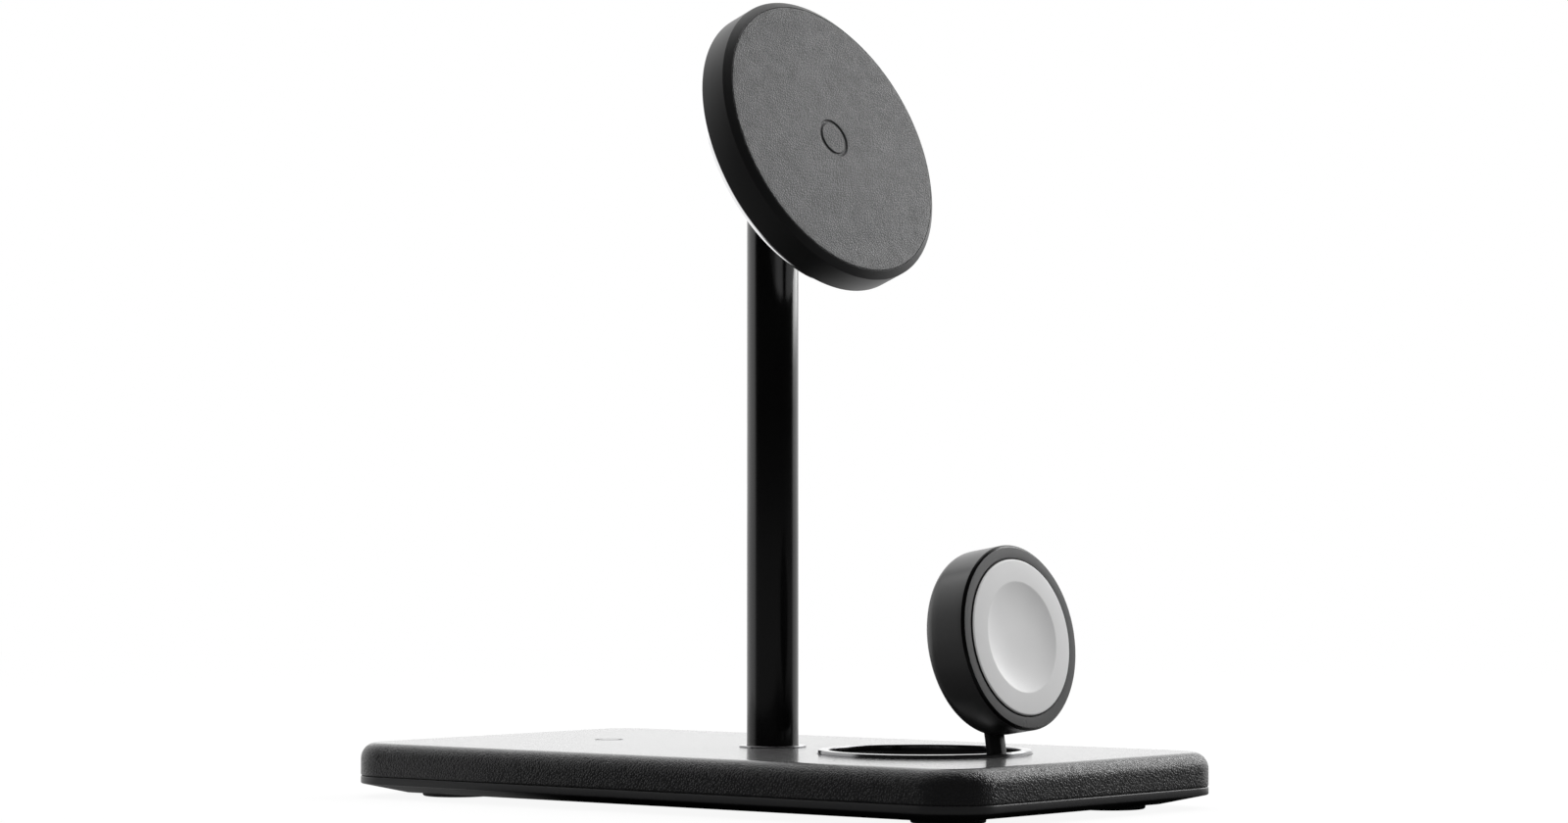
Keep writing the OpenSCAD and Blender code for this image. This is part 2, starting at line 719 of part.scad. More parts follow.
// The bright back shell, with the neck's opening
module head_back_shell() {
    color([0.8, 0.8, 0.82]) on_head() difference() {
        union() {
            rotate_extrude() intersection() {
                square([back_r, rim_back]);
                union() {
                    translate([0, back_round]) square([back_r, rim_back]);
                    square([back_r - back_round, rim_back]);
                    translate([back_r - back_round, back_round]) circle(back_round);
                }
            }
            cylinder(r = rim_bore_r - seat_gap, h = rim_back + 1.2);
        }
        translate([0, 0, back_wall]) cylinder(r = rim_bore_r - seat_gap - 1.2, h = 10);
        cube([lug_w + 2 * seat_gap, 2 * neck_half + 2 * seat_gap, 10], center = true);
        for (a = [45:90:315]) rotate(a) translate([lug_screw_ring, 0, 0]) cylinder(r = lug_screw_r, h = 10);
    }
}

// The ring of arched magnets behind the pad, open for one magnet at the bottom
module head_magnets() {
    step = 360 / magnet_count;
    color([0.7, 0.7, 0.72]) on_head() translate([0, 0, pad_seat - 0.8 - magnet_t])
        for (i = [1:magnet_count - 1]) rotate([0, 0, -90 + i * step - (step - magnet_gap_deg) / 2])
            rotate_extrude(angle = step - magnet_gap_deg)
                translate([magnet_in_r, 0]) square([magnet_out_r - magnet_in_r, magnet_t]);
}

// The charging coil behind the pad
module head_coil() {
    color([0.72, 0.4, 0.2]) on_head() translate([0, 0, pad_seat - coil_face_t]) ring(head_coil_out_r, head_coil_in_r, coil_face_t);
}

// The ferrite plate behind the coil
module head_ferrite() {
    color([0.2, 0.2, 0.22]) on_head() translate([0, 0, pad_seat - coil_face_t - ferrite_t])
        cylinder(r = head_ferrite_r, h = ferrite_t);
}

// The round board between the lug's plate and the ferrite
module head_board() {
    board_seat = back_wall + lug_plate_t + lug_board_gap;
    color([0.03, 0.2, 0.1]) on_head() {
        translate([0, 0, board_seat]) cylinder(r = head_board_r, h = board_t);
        for (a = [0:90:270]) rotate(a) {
            translate([head_post_ring, 0, board_seat + board_t])
                cylinder(r = head_post_r, h = pad_seat - coil_face_t - ferrite_t - board_seat - board_t);
            translate([head_stud_ring, 0, back_wall]) cylinder(r = head_stud_r, h = board_seat - back_wall);
        }
    }
}

// The lug: an eye on the tilt pin, a neck through the back shell and a plate inside it
module head_lug() {
    neck_top = back_wall + lug_plate_t;
    color([0.3, 0.3, 0.31]) on_head() difference() {
        union() {
            translate([0, 0, -neck_l]) across(eye_r, lug_w);
            translate([-lug_w / 2, -neck_half, -neck_l]) cube([lug_w, 2 * neck_half, neck_l + neck_top]);
            translate([0, 0, back_wall]) cylinder(r = lug_plate_r, h = lug_plate_t);
        }
        translate([0, 0, -neck_l]) across(tilt_pin_r + pin_gap, 2 * lug_w);
        for (a = [45:90:315]) rotate(a) translate([lug_screw_ring, 0, 0]) cylinder(r = lug_screw_r, h = 10);
    }
}

// Four small screws through the back shell into the lug's plate
module lug_screws() {
    color([0.7, 0.7, 0.72]) on_head() for (a = [45:90:315]) rotate(a) translate([lug_screw_ring, 0, 0.1])
        cylinder(r = lug_screw_r - screw_slack, h = back_wall + lug_plate_t);
}

// The two friction washers between the ears and the lug
module tilt_washers() {
    color([0.6, 0.5, 0.3]) both_sides() translate([lug_w / 2, post_y, tilt_z]) rotate([0, 90, 0])
        ring(washer_r, tilt_pin_r + pin_gap, washer_t - 0.02);
}

// The watch disc's round housing, open in front for the face and slotted for the arm's tang
module disc_housing() {
    color([0.07, 0.07, 0.075]) raised() translate([0, pocket_c, disc_back_z]) difference() {
        rotate_extrude() difference() {
            union() {
                translate([0, disc_round]) square([disc_r, disc_t - disc_round]);
                square([disc_r - disc_round, disc_t]);
                translate([disc_r - disc_round, disc_round]) circle(disc_round);
            }
            translate([disc_r, disc_t]) rotate(45) square(disc_bevel, center = true);
            translate([0, ferrite_seat]) square([face_r + face_gap, disc_t]);
            translate([0, disc_floor]) square([disc_inner_r, disc_t]);
        }
        translate([-arm_w / 2 - 0.05, -disc_r - 1, -1])
            cube([arm_w + 0.1, disc_r + 1 - disc_inner_r + tang_l, arm_d + 1.05]);
    }
}

// The pale charging face with its shallow dish and soft edge
module disc_face() {
    top = face_t + face_proud;
    bowl_r = (dish_r * dish_r + dish_depth * dish_depth) / (2 * dish_depth);
    color([0.86, 0.86, 0.86]) raised() translate([0, pocket_c, disc_back_z + face_seat]) rotate_extrude() difference() {
        union() {
            square([face_r, top - face_edge]);
            square([face_r - face_edge, top]);
            translate([face_r - face_edge, top - face_edge]) circle(face_edge);
        }
        intersection() {
            translate([0, top + bowl_r - dish_depth]) circle(bowl_r, $fn = 256);
            square([dish_r + 1, top + 1]);
        }
    }
}

// The coil behind the charging face
module disc_coil() {
    color([0.72, 0.4, 0.2]) raised() translate([0, pocket_c, disc_back_z + coil_seat]) ring(disc_coil_r, disc_coil_in_r, coil_t);
}

// The magnet in the middle of the coil
module disc_magnet() {
    color([0.7, 0.7, 0.72]) raised() translate([0, pocket_c, disc_back_z + coil_seat]) cylinder(r = disc_magnet_r, h = coil_t);
}

// The ferrite plate on the housing's ledge
module disc_ferrite() {
    color([0.2, 0.2, 0.22]) raised() translate([0, pocket_c, disc_back_z + ferrite_seat]) cylinder(r = disc_ferrite_r, h = ferrite_t);
}

// The small board on the housing's floor
module disc_board() {
    color([0.03, 0.2, 0.1]) raised() translate([0, pocket_c, disc_back_z + disc_floor]) {
        cylinder(r = disc_inner_r - 0.3, h = board_t);
        translate([-disc_chip_w / 2, -disc_chip_w / 2, board_t]) cube([disc_chip_w, disc_chip_w, disc_chip_h]);
    }
}

// The bent arm that carries the watch disc: an eye on the pin, a short leg and a bevelled bar
module hinge_arm() {
    bar_end = pocket_c - disc_inner_r + tang_l - 0.1;
    bar_start = hinge_y - arm_eye_r;
    color([0.12, 0.12, 0.125]) raised() difference() {
        union() {
            translate([0, hinge_y, hinge_z]) across(arm_eye_r, arm_w);
            translate([-arm_w / 2, bar_start, disc_back_z]) cube([arm_w, 2 * arm_eye_r, hinge_z - disc_back_z]);
            translate([0, bar_start, disc_back_z]) rotate([90, 0, 180]) linear_extrude(bar_end - bar_start)
                polygon([[-arm_w / 2, 0], [arm_w / 2, 0], [arm_w / 2, arm_d - arm_bevel],
                    [arm_w / 2 - arm_bevel, arm_d], [arm_bevel - arm_w / 2, arm_d], [-arm_w / 2, arm_d - arm_bevel]]);
        }
        translate([0, hinge_y, hinge_z]) across(arm_pin_r + pin_gap, 2 * arm_w);
    }
}

base_cover();
trim_band();
bottom_tray();
rubber_feet();
case_screws();
ballast_plate();
main_board();
board_parts();
usb_socket();
usb_tongue();
earbud_coil();
earbud_ferrite();
pocket_ring();
pocket_liner();
hinge_bracket();
bracket_screws();
hinge_pin();
post_tube();
post_collar();
post_clamp_plate();
post_nut();
post_knuckle();
tilt_pin();
head_lead();
lead_plug();
head_pad();
head_rim();
head_back_shell();
head_magnets();
head_coil();
head_ferrite();
head_board();
head_lug();
lug_screws();
tilt_washers();
disc_housing();
disc_face();
disc_coil();
disc_magnet();
disc_ferrite();
disc_board();
hinge_arm();
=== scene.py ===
"""Looks of a three in one wireless charger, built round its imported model.

The base is a leather-covered box with an earbud pad behind, a round post in the middle
that carries a tilting phone disc, and a watch disc that folds into a round pocket in front.
Sizes are written in millimetres in the part's own frame: X across, -Y the watch end, Z up.
Only the camera, the lamps and the floor are written in metres.
"""

from __future__ import annotations

import logging
import math
from abc import ABC, abstractmethod
from dataclasses import dataclass
from enum import Enum
from typing import Sequence

import bmesh
import bpy
import numpy as np
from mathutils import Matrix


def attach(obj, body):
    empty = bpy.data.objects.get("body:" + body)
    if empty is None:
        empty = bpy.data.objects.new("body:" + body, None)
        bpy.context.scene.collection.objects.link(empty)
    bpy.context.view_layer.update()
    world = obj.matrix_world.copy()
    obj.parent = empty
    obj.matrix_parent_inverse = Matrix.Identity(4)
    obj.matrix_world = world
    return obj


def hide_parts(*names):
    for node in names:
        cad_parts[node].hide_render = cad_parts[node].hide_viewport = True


MM = 0.001
SHARP = 32.0
WHITE = (1.0, 1.0, 1.0, 1.0)
LOG = logging.getLogger("charger")

Pair = tuple[float, float]
Triple = tuple[float, float, float]
Mesh = bpy.types.Mesh
Socket = bpy.types.NodeSocket

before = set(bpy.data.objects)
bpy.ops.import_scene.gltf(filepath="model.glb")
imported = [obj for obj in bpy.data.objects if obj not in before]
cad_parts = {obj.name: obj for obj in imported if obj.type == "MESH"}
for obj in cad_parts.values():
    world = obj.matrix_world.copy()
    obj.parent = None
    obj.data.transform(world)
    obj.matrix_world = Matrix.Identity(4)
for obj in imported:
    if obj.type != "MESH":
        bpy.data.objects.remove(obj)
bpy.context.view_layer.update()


class Body(Enum):
    """The three bodies that pieces ride on."""

    BASE = "base"
    HEAD = "head"
    WATCH = "watch"


class Slot(Enum):
    """The record's material slots, listed next to the new pieces and their finishes."""

    LEATHER = "grain_leather"
    BAND = "band_plastic"
    RUBBER = "foot_rubber"
    BLACK = "black_metal"
    RING = "ring_metal"
    POCKET = "pocket_plastic"
    RIM = "rim_plastic"
    BRIGHT = "bright_metal"
    PALE = "pale_plastic"
    SOCKET = "socket_metal"


class Ease(Enum):
    """How a value moves over a range."""

    STRAIGHT = "LINEAR"
    SOFT = "SMOOTHSTEP"


class Pebble(Enum):
    """What a pattern of pebbles gives the distance to."""

    DOME = "SMOOTH_F1"
    CREASE = "DISTANCE_TO_EDGE"
    DOT = "F1"


# Shapes as arrays


@dataclass(frozen=True)
class Seat:
    """Where a sub-assembly sits: its origin in millimetres and how far it leans about X."""

    origin: Triple = (0.0, 0.0, 0.0)
    turn_deg: float = 0.0

    def carry(self, points: np.ndarray) -> np.ndarray:
        """Turns local points about X by turn_deg, adds the origin and gives metres.

        Args:
            points: Local points in millimetres, any shape that ends in 3.

        Returns:
            The same points in the part's frame, in metres.
        """
        c, s = math.cos(math.radians(self.turn_deg)), math.sin(math.radians(self.turn_deg))
        turn = np.array([[1.0, 0.0, 0.0], [0.0, c, -s], [0.0, s, c]])
        return (points @ turn.T + np.array(self.origin)) * MM


@dataclass(frozen=True)
class Patch:
    """A surface on a grid of two parameters, with its ends joined where they meet."""

    points: np.ndarray
    wrap_u: bool = False
    wrap_v: bool = False

    def quads(self, start: int) -> np.ndarray:
        """Numbers the four corners of every cell of the grid.

        Args:
            start: The number of the grid's first point in the mesh.

        Returns:
            An array of point numbers, four a row.
        """
        nu, nv = self.points.shape[:2]
        u = np.arange(nu if self.wrap_u else nu - 1)[:, None]
        v = np.arange(nv if self.wrap_v else nv - 1)[None, :]
        u2, v2 = (u + 1) % nu, (v + 1) % nv
        corners = np.broadcast_arrays(u * nv + v, u2 * nv + v, u2 * nv + v2, u * nv + v2)
        return start + np.stack(corners, -1).reshape(-1, 4)

    def moved(self, offset: Sequence[float]) -> Patch:
        """The same surface, moved by an offset."""
        return Patch(self.points + np.array(offset), self.wrap_u, self.wrap_v)


def section(r0: float, r1: float, z0: float, z1: float) -> list[Pair]:
    """The corners of a square-cut section between two reaches and two heights."""
    return [(r0, z0), (r1, z0), (r1, z1), (r0, z1)]


def soft_profile(corners: Sequence[Pair], radii: Sequence[float], steps: int = 6,
                 closed: bool = True) -> np.ndarray:
    """Rounds each corner of a profile with an arc that touches both of its sides.

    The arc's centre lies on the corner's bisector at radius over the sine of half the
    corner's angle, and its points turn evenly from one side's touching point to the other's.

    Args:
        corners: The profile's corners, as pairs of reach and height.
        radii: The radius at each corner; nearly 0 keeps it crisp.
        steps: How many steps each arc has.
        closed: Whether the profile returns to its first corner; if not, both ends stay as they are.

    Returns:
        The rounded profile's points, two columns.
    """
    c = np.array(corners, float)
    r = np.maximum(np.array(radii, float), 1e-4)
    before, after = np.roll(c, 1, 0) - c, np.roll(c, -1, 0) - c
    before /= np.linalg.norm(before, axis=1, keepdims=True)
    after /= np.linalg.norm(after, axis=1, keepdims=True)
    half = np.arccos(np.clip((before * after).sum(1), -0.9999, 0.9999)) / 2
    reach = r / np.tan(half)
    middle = before + after
    middle /= np.linalg.norm(middle, axis=1, keepdims=True)
    centre = c + middle * (r / np.sin(half))[:, None]
    start, end = c + before * reach[:, None] - centre, c + after * reach[:, None] - centre
    sweep = (math.pi - 2 * half)[:, None, None]
    t = np.linspace(0, 1, steps + 1)[None, :, None]
    mixed = np.sin((1 - t) * sweep) * start[:, None] + np.sin(t * sweep) * end[:, None]
    arcs = centre[:, None] + mixed / np.sin(sweep)
    if closed:
        return arcs.reshape(-1, 2)
    return np.vstack([c[:1], arcs[1:-1].reshape(-1, 2), c[-1:]])


def refined(profile: np.ndarray, step: float) -> np.ndarray:
    """Adds points along an open profile so that no gap is longer than step.

    Each point is read off the profile by its length from the start, evenly within each side.

    Args:
        profile: The profile's points, two columns.
        step: The longest gap to leave.

    Returns:
        The finer profile.
    """
    gaps = np.linalg.norm(np.diff(profile, axis=0), axis=1)
    along = np.concatenate([[0.0], np.cumsum(gaps)])
    counts = np.maximum(np.ceil(gaps / step).astype(int), 1)
    index = np.repeat(np.arange(len(gaps)), counts)
    inner = (np.arange(counts.sum()) - np.repeat(np.cumsum(counts) - counts, counts)) / counts[index]
    where = np.append(along[index] + inner * gaps[index], along[-1])
    return np.column_stack([np.interp(where, along, column) for column in profile.T])


def lathe(profile: np.ndarray, turns: int, closed: bool = True) -> Patch:
    """Spins a profile of radius and height about the local Z axis.

    A point at radius r and angle a stands at r times the cosine and sine of a.

    Args:
        profile: Pairs of radius and height.
        turns: How many steps the full turn has.
        closed: Whether the profile's last point joins its first.

    Returns:
        The spun surface.
    """
    a = np.linspace(0, 2 * math.pi, turns, endpoint=False)[:, None]
    r, z = profile[None, :, 0], profile[None, :, 1]
    return Patch(np.stack(np.broadcast_arrays(r * np.cos(a), r * np.sin(a), z), -1), True, closed)


def block(low: Triple, high: Triple) -> list[Patch]:
    """A plain block between two corners, used only to carve with.

    Its four walls are one square loop carried up, and its two ends are one cell each.

    Args:
        low: The lowest corner.
        high: The highest corner.

    Returns:
        The block's patches.
    """
    loop = np.array(section(low[0], high[0], low[1], high[1]))
    rows = [np.column_stack([loop, np.full(4, z)]) for z in (low[2], high[2])]
    ends = [Patch(row[[0, 1, 3, 2]].reshape(2, 2, 3)) for row in rows]
    return [Patch(np.array(rows), False, True), *ends]


def smoothed(mesh: Mesh, sharp_deg: float) -> Mesh:
    """Shades a mesh smoothly, apart from its crisp edges.

    Args:
        mesh: The mesh.
        sharp_deg: Edges that fold more than this stay sharp.

    Returns:
        The same mesh.
    """
    mesh.shade_smooth()
    mesh.set_sharp_from_angle(angle=math.radians(sharp_deg))
    return mesh


def welded(mesh: Mesh, recalculate: bool) -> None:
    """Merges a mesh's doubled points and, for a mesh of our own, turns its faces outwards.

    Args:
        mesh: The mesh to weld.
        recalculate: Whether the normals are worked out again.
    """
    bm = bmesh.new()
    bm.from_mesh(mesh)
    bmesh.ops.remove_doubles(bm, verts=bm.verts, dist=0.001 * MM)
    bmesh.ops.dissolve_degenerate(bm, edges=bm.edges, dist=0.0005 * MM)
    if recalculate:
        bmesh.ops.recalc_face_normals(bm, faces=bm.faces)
    bm.to_mesh(mesh)
    bm.free()


def woven_mesh(name: str, patches: Sequence[Patch], seat: Seat = Seat(), sharp_deg: float = SHARP) -> Mesh:
    """Joins patches into one mesh with welded seams, outward faces and smooth shading.

    Args:
        name: The mesh's name.
        patches: The surfaces to join, in local millimetres.
        seat: Where they sit.
        sharp_deg: Edges that fold more than this stay sharp.

    Returns:
        The finished mesh.
    """
    counts = np.cumsum([0] + [p.points.shape[0] * p.points.shape[1] for p in patches])
    points = np.concatenate([p.points.reshape(-1, 3) for p in patches])
    quads = np.concatenate([p.quads(int(n)) for p, n in zip(patches, counts)])
    mesh = bpy.data.meshes.new(name)
    mesh.from_pydata(seat.carry(points).tolist(), [], quads.tolist())
    welded(mesh, recalculate=True)
    return smoothed(mesh, sharp_deg)


def spun(name: str, profile: np.ndarray, turns: int, seat: Seat, closed: bool = True) -> Mesh:
    """Spins a profile about the seat's Z axis into a finished mesh.

    Args:
        name: The mesh's name.
        profile: Pairs of radius and height.
        turns: How many steps the full turn has.
        seat: Where it sits.
        closed: Whether the profile's last point joins its first.

    Returns:
        The finished mesh.
    """
    return woven_mesh(name, [lathe(profile, turns, closed)], seat)


def carved(mesh: Mesh, cutters: Sequence[Mesh]) -> Mesh:
    """Cuts closed shapes out of a closed mesh.

    Args:
        mesh: The mesh to cut; it is used up.
        cutters: The shapes to take away; they are used up.

    Returns:
        The carved mesh, under the same name.
    """
    name = mesh.name
    body = bpy.data.objects.new(name + "_blank", mesh)
    tools = [bpy.data.objects.new(name + "_tool", cutter) for cutter in cutters]
    for thing in (body, *tools):
        bpy.context.scene.collection.objects.link(thing)
    for tool in tools:
        cut = body.modifiers.new("cut", "BOOLEAN")
        cut.operation, cut.solver, cut.object = "DIFFERENCE", "EXACT", tool
    bpy.context.view_layer.update()
    result = bpy.data.meshes.new_from_object(body.evaluated_get(bpy.context.evaluated_depsgraph_get()))
    for thing in (body, *tools):
        data = thing.data
        bpy.data.objects.remove(thing)
        bpy.data.meshes.remove(data)
    result.name = name
    welded(result, recalculate=False)
    return smoothed(result, SHARP)


def softened_copy(node: str, name: str, width: float) -> Mesh:
    """Copies a CAD node's mesh, welds it and rounds its crisp edges a little.

    Args:
        node: The CAD node to copy.
        name: The new mesh's name.
        width: How wide the edges are rounded, in millimetres.

    Returns:
        The softened mesh.
    """
    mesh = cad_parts[node].data.copy()
    mesh.name = name
    mesh.materials.clear()
    bm = bmesh.new()
    bm.from_mesh(mesh)
    bmesh.ops.remove_doubles(bm, verts=bm.verts, dist=0.002 * MM)
    bmesh.ops.dissolve_limit(bm, angle_limit=math.radians(0.4), verts=bm.verts, edges=bm.edges)
    folds = [e for e in bm.edges if len(e.link_faces) == 2 and e.calc_face_angle(0.0) > math.radians(SHARP)]
    bmesh.ops.bevel(bm, geom=folds, offset=width * MM, segments=2, profile=0.6, affect="EDGES",
                    clamp_overlap=True)
    bm.to_mesh(mesh)
    bm.free()
    return smoothed(mesh, SHARP)


# Node trees


class Wiring:
    """Adds and links the nodes of one tree."""

    def __init__(self, owner: bpy.types.Material | bpy.types.World) -> None:
        """Empties a tree, to start from.

        Args:
            owner: The material or the world that the tree belongs to.
        """
        owner.use_nodes = True
        self.tree = owner.node_tree
        self.tree.nodes.clear()

    def add(self, kind: str, *values: object, **named: object) -> bpy.types.Node:
        """Adds a node, sets its options and fills its sockets.

        Args:
            kind: The node's type, without the word ShaderNode in front.
            *values: What goes into its first sockets, in order.
            **named: Options in small letters, and sockets with _ for each space.

        Returns:
            The new node.
        """
        node = self.tree.nodes.new("ShaderNode" + kind)
        for key, value in named.items():
            if key[0].islower():
                setattr(node, key, value)
        for socket, value in zip(node.inputs, values):
            self.put(socket, value)
        for key, value in named.items():
            if key[0].isupper():
                self.put(node.inputs[key.replace("_", " ")], value)
        return node

    def put(self, socket: Socket, value: object) -> None:
        """Links an output to a socket, or sets the socket's value.

        Args:
            socket: The input socket.
            value: An output socket, a number or a tuple.
        """
        if isinstance(value, Socket):
            self.tree.links.new(value, socket)
        else:
            socket.default_value = value

    def span(self, value: Socket, over: Pair, levels: Pair, ease: Ease = Ease.STRAIGHT) -> Socket:
        """Maps the range over of a value onto two levels, and holds it there."""
        return self.add("MapRange", value, *over, *levels, interpolation_type=ease.value).outputs[0]

    def sum_of(self, a: Socket, b: Socket, share: float) -> Socket:
        """Adds share times b to a."""
        return self.add("Math", b, share, a, operation="MULTIPLY_ADD").outputs[0]

    def product(self, a: Socket, b: Socket) -> Socket:
        """Multiplies two values."""
        return self.add("Math", a, b, operation="MULTIPLY").outputs[0]

    def mix(self, share: Socket, low: object, high: object, first: int, **options: object) -> bpy.types.Node:
        """Adds a mix of two sides.

        Args:
            share: The share of the second side.
            low: The first side.
            high: The second side.
            first: The number of the first side's socket.
            **options: The node's options.

        Returns:
            The mix.
        """
        node = self.add("Mix", share, **options)
        self.put(node.inputs[first], low)
        self.put(node.inputs[first + 1], high)
        return node

    def blend(self, share: Socket, low: object, high: object) -> Socket:
        """A mix of two levels: low where the share is 0 and high where it is 1."""
        return self.mix(share, low, high, 2).outputs[0]

    def tint(self, share: Socket, low: Triple, high: Triple) -> Socket:
        """A mix of two colours: low where the share is 0 and high where it is 1."""
        return self.mix(share, (*low, 1.0), (*high, 1.0), 6, data_type="RGBA").outputs[2]


class Bench(Wiring):
    """Wires one material round its shader, with patterns in millimetres."""

    def __init__(self, name: str) -> None:
        """Starts a material with one shader on its output.

        Args:
            name: The material's name.
        """
        self.material = bpy.data.materials.new(name)
        super().__init__(self.material)
        self.shader = self.add("BsdfPrincipled")
        self.add("OutputMaterial", self.shader.outputs[0])
        self.place = self.add("TexCoord").outputs["Object"]

    def pattern(self, kind: str, size: float, **named: object) -> bpy.types.Node:
        """A pattern on the object's own coordinates, whose unit is size millimetres."""
        return self.add(kind, **{"Vector": self.place, "Scale": 1 / (size * MM), **named})

    def noise(self, size: float, detail: float = 3.0, rough: float = 0.55) -> Socket:
        """A cloudy pattern whose features are about size millimetres across."""
        return self.pattern("TexNoise", size, Detail=detail, Roughness=rough).outputs[0]

    def cells(self, size: float, pebble: Pebble, **sockets: object) -> Socket:
        """A pattern of pebbles about size millimetres across."""
        return self.pattern("TexVoronoi", size, feature=pebble.value, **sockets).outputs["Distance"]

    def rings(self, axis: Seat, size: float, **sockets: object) -> Socket:
        """A pattern of rings.

        Args:
            axis: The seat whose Z axis the rings go round.
            size: The pattern's unit, in millimetres.
            **sockets: The pattern's other sockets.

        Returns:
            The pattern.
        """
        centre = tuple(v * MM for v in axis.origin)
        lean = (math.radians(axis.turn_deg), 0.0, 0.0)
        seat = self.add("Mapping", vector_type="TEXTURE", Vector=self.place, Location=centre, Rotation=lean)
        kind = {"wave_type": "RINGS", "rings_direction": "Z"}
        return self.pattern("TexWave", size, Vector=seat.outputs[0], **kind, **sockets).outputs[1]

    def relief(self, height: Socket, depth: float, strength: float) -> None:
        """Raises the surface by a pattern; a value of 1 stands depth millimetres high."""
        bump = self.add("Bump", Height=height, Strength=strength, Distance=depth * MM).outputs[0]
        self.set(Normal=bump, Coat_Normal=bump)

    def set(self, **sockets: object) -> None:
        """Fills the shader's own sockets, with _ for each space in their names."""
        for key, value in sockets.items():
            self.put(self.shader.inputs[key.replace("_", " ")], value)


# Finishes


@dataclass(frozen=True)
class Finish(ABC):
    """A finish of the object.

    A pattern moves its colour between two factors, the tones, and adds the haze to its
    dullness. Its relief is depth millimetres high and shows by a share, the strength.
    """

    name: str
    colour: Triple
    dull: float
    tones: Pair = (1.0, 1.0)
    haze: Pair = (0.0, 0.0)
    depth: float = 0.0
    strength: float = 0.5

    def shade(self, factor: float) -> Triple:
        """The colour, lighter or darker by a factor."""
        return tuple(min(part * factor, 1.0) for part in self.colour)

    def coloured(self, bench: Bench, pattern: Socket) -> Socket:
        """The colour, as a pattern moves it."""
        return bench.tint(pattern, self.shade(self.tones[0]), self.shade(self.tones[1]))

    def dulled(self, bench: Bench, pattern: Socket, over: Pair = (0.3, 0.7)) -> Socket:
        """The dullness, as a pattern moves it over a range of its values."""
        return bench.span(pattern, over, (self.dull + self.haze[0], self.dull + self.haze[1]))

    def coat(self, bench: Bench, pattern: Socket, height: Socket, **sockets: object) -> None:
        """Colours and dulls by a pattern, raises by a height and fills the shader's other sockets."""
        bench.relief(height, self.depth, self.strength)
        bench.set(Base_Color=self.coloured(bench, pattern), Roughness=self.dulled(bench, pattern), **sockets)

    @abstractmethod
    def wire(self, bench: Bench) -> None:
        """Wires the finish on its bench."""

    def make(self) -> bpy.types.Material:
        """Builds the finish as a material.

        Returns:
            The material.
        """
        bench = Bench(self.name)
        self.wire(bench)
        return bench.material


@dataclass(frozen=True)
class PebbledLeather(Finish):
    """Fine pebbled leather under wax: domed grains with creases between them.

    Where flat_z is set, the grain is pressed nearly flat on the top at that height, and
    the wax is thinner below it.
    """

    tones: Pair = (0.72, 1.18)
    haze: Pair = (-0.07, 0.09)
    depth: float = 0.06
    strength: float = 0.8
    grain: float = 0.55
    cloud: float = 9.0
    wax: float = 1.0
    wax_dull: float = 0.15
    wax_index: float = 1.33
    glint: float = 0.2
    bloom: float = 0.08
    bloom_dull: float = 0.3
    flat_z: float = 0.0
    flat_share: float = 0.06
    flat_reach: float = 0.5
    side_wax: float = 0.55
    wax_reach: float = 0.9

    def wire(self, bench: Bench) -> None:
        """Wires the leather: the creases, the domes and a fine noise make its height.

        Args:
            bench: The material's bench.
        """
        dome = bench.span(bench.cells(self.grain, Pebble.DOME, Smoothness=0.55), (0.05, 0.75), (1.0, 0.0))
        crease = bench.span(bench.cells(self.grain, Pebble.CREASE), (0.0, 0.2), (0.0, 1.0))
        fine = bench.noise(self.grain * 0.28, 4.0, 0.6)
        soft = bench.noise(self.grain * 5.0, 2.0, 0.5)
        height = bench.sum_of(bench.sum_of(crease, dome, 0.4), fine, 0.2)
        wax, top = self.wax, self.flat_z * MM
        if self.flat_z:
            upright = bench.add("SeparateXYZ", bench.place).outputs["Z"]
            pressed = ((self.flat_z - self.flat_reach) * MM, top)
            height = bench.product(height, bench.span(upright, pressed, (1.0, self.flat_share)))
            waxed = ((self.flat_z - self.wax_reach) * MM, top)
            wax = bench.span(upright, waxed, (self.side_wax, self.wax))
        tone = bench.sum_of(bench.span(crease, (0.0, 1.0), (0.25, 0.75)), bench.noise(self.cloud), 0.18)
        dull = self.dulled(bench, bench.sum_of(soft, crease, -0.25), (0.1, 0.7))
        bench.relief(height, self.depth, self.strength)
        bench.set(Base_Color=self.coloured(bench, tone), Roughness=dull, Specular_IOR_Level=self.glint,
                  Coat_Weight=wax, Coat_Roughness=self.wax_dull, Coat_IOR=self.wax_index,
                  Sheen_Weight=self.bloom, Sheen_Roughness=self.bloom_dull)


@dataclass(frozen=True)
class MouldedPlastic(Finish):
    """Moulded plastic: a fine even texture and faint flow marks."""

    tones: Pair = (0.93, 1.07)
    haze: Pair = (-0.03, 0.04)
    depth: float = 0.004
    strength: float = 0.6
    texture: float = 0.12
    flow: float = 14.0
    glint: float = 0.25

    def wire(self, bench: Bench) -> None:
        """Wires the plastic."""
        height = bench.noise(self.texture, 2.0)
        self.coat(bench, bench.noise(self.flow, 2.0), height, Specular_IOR_Level=self.glint)


@dataclass(frozen=True)
class LacqueredMetal(Finish):
    """Black lacquered metal: a deep smooth coat with a trace of orange peel."""

    tones: Pair = (0.9, 1.1)
    haze: Pair = (-0.02, 0.04)
    depth: float = 0.0035
    peel: float = 1.6
    cloud: float = 11.0
    index: float = 1.6

    def wire(self, bench: Bench) -> None:
        """Wires the lacquer."""
        self.coat(bench, bench.noise(self.cloud), bench.noise(self.peel, 2.0), IOR=self.index)


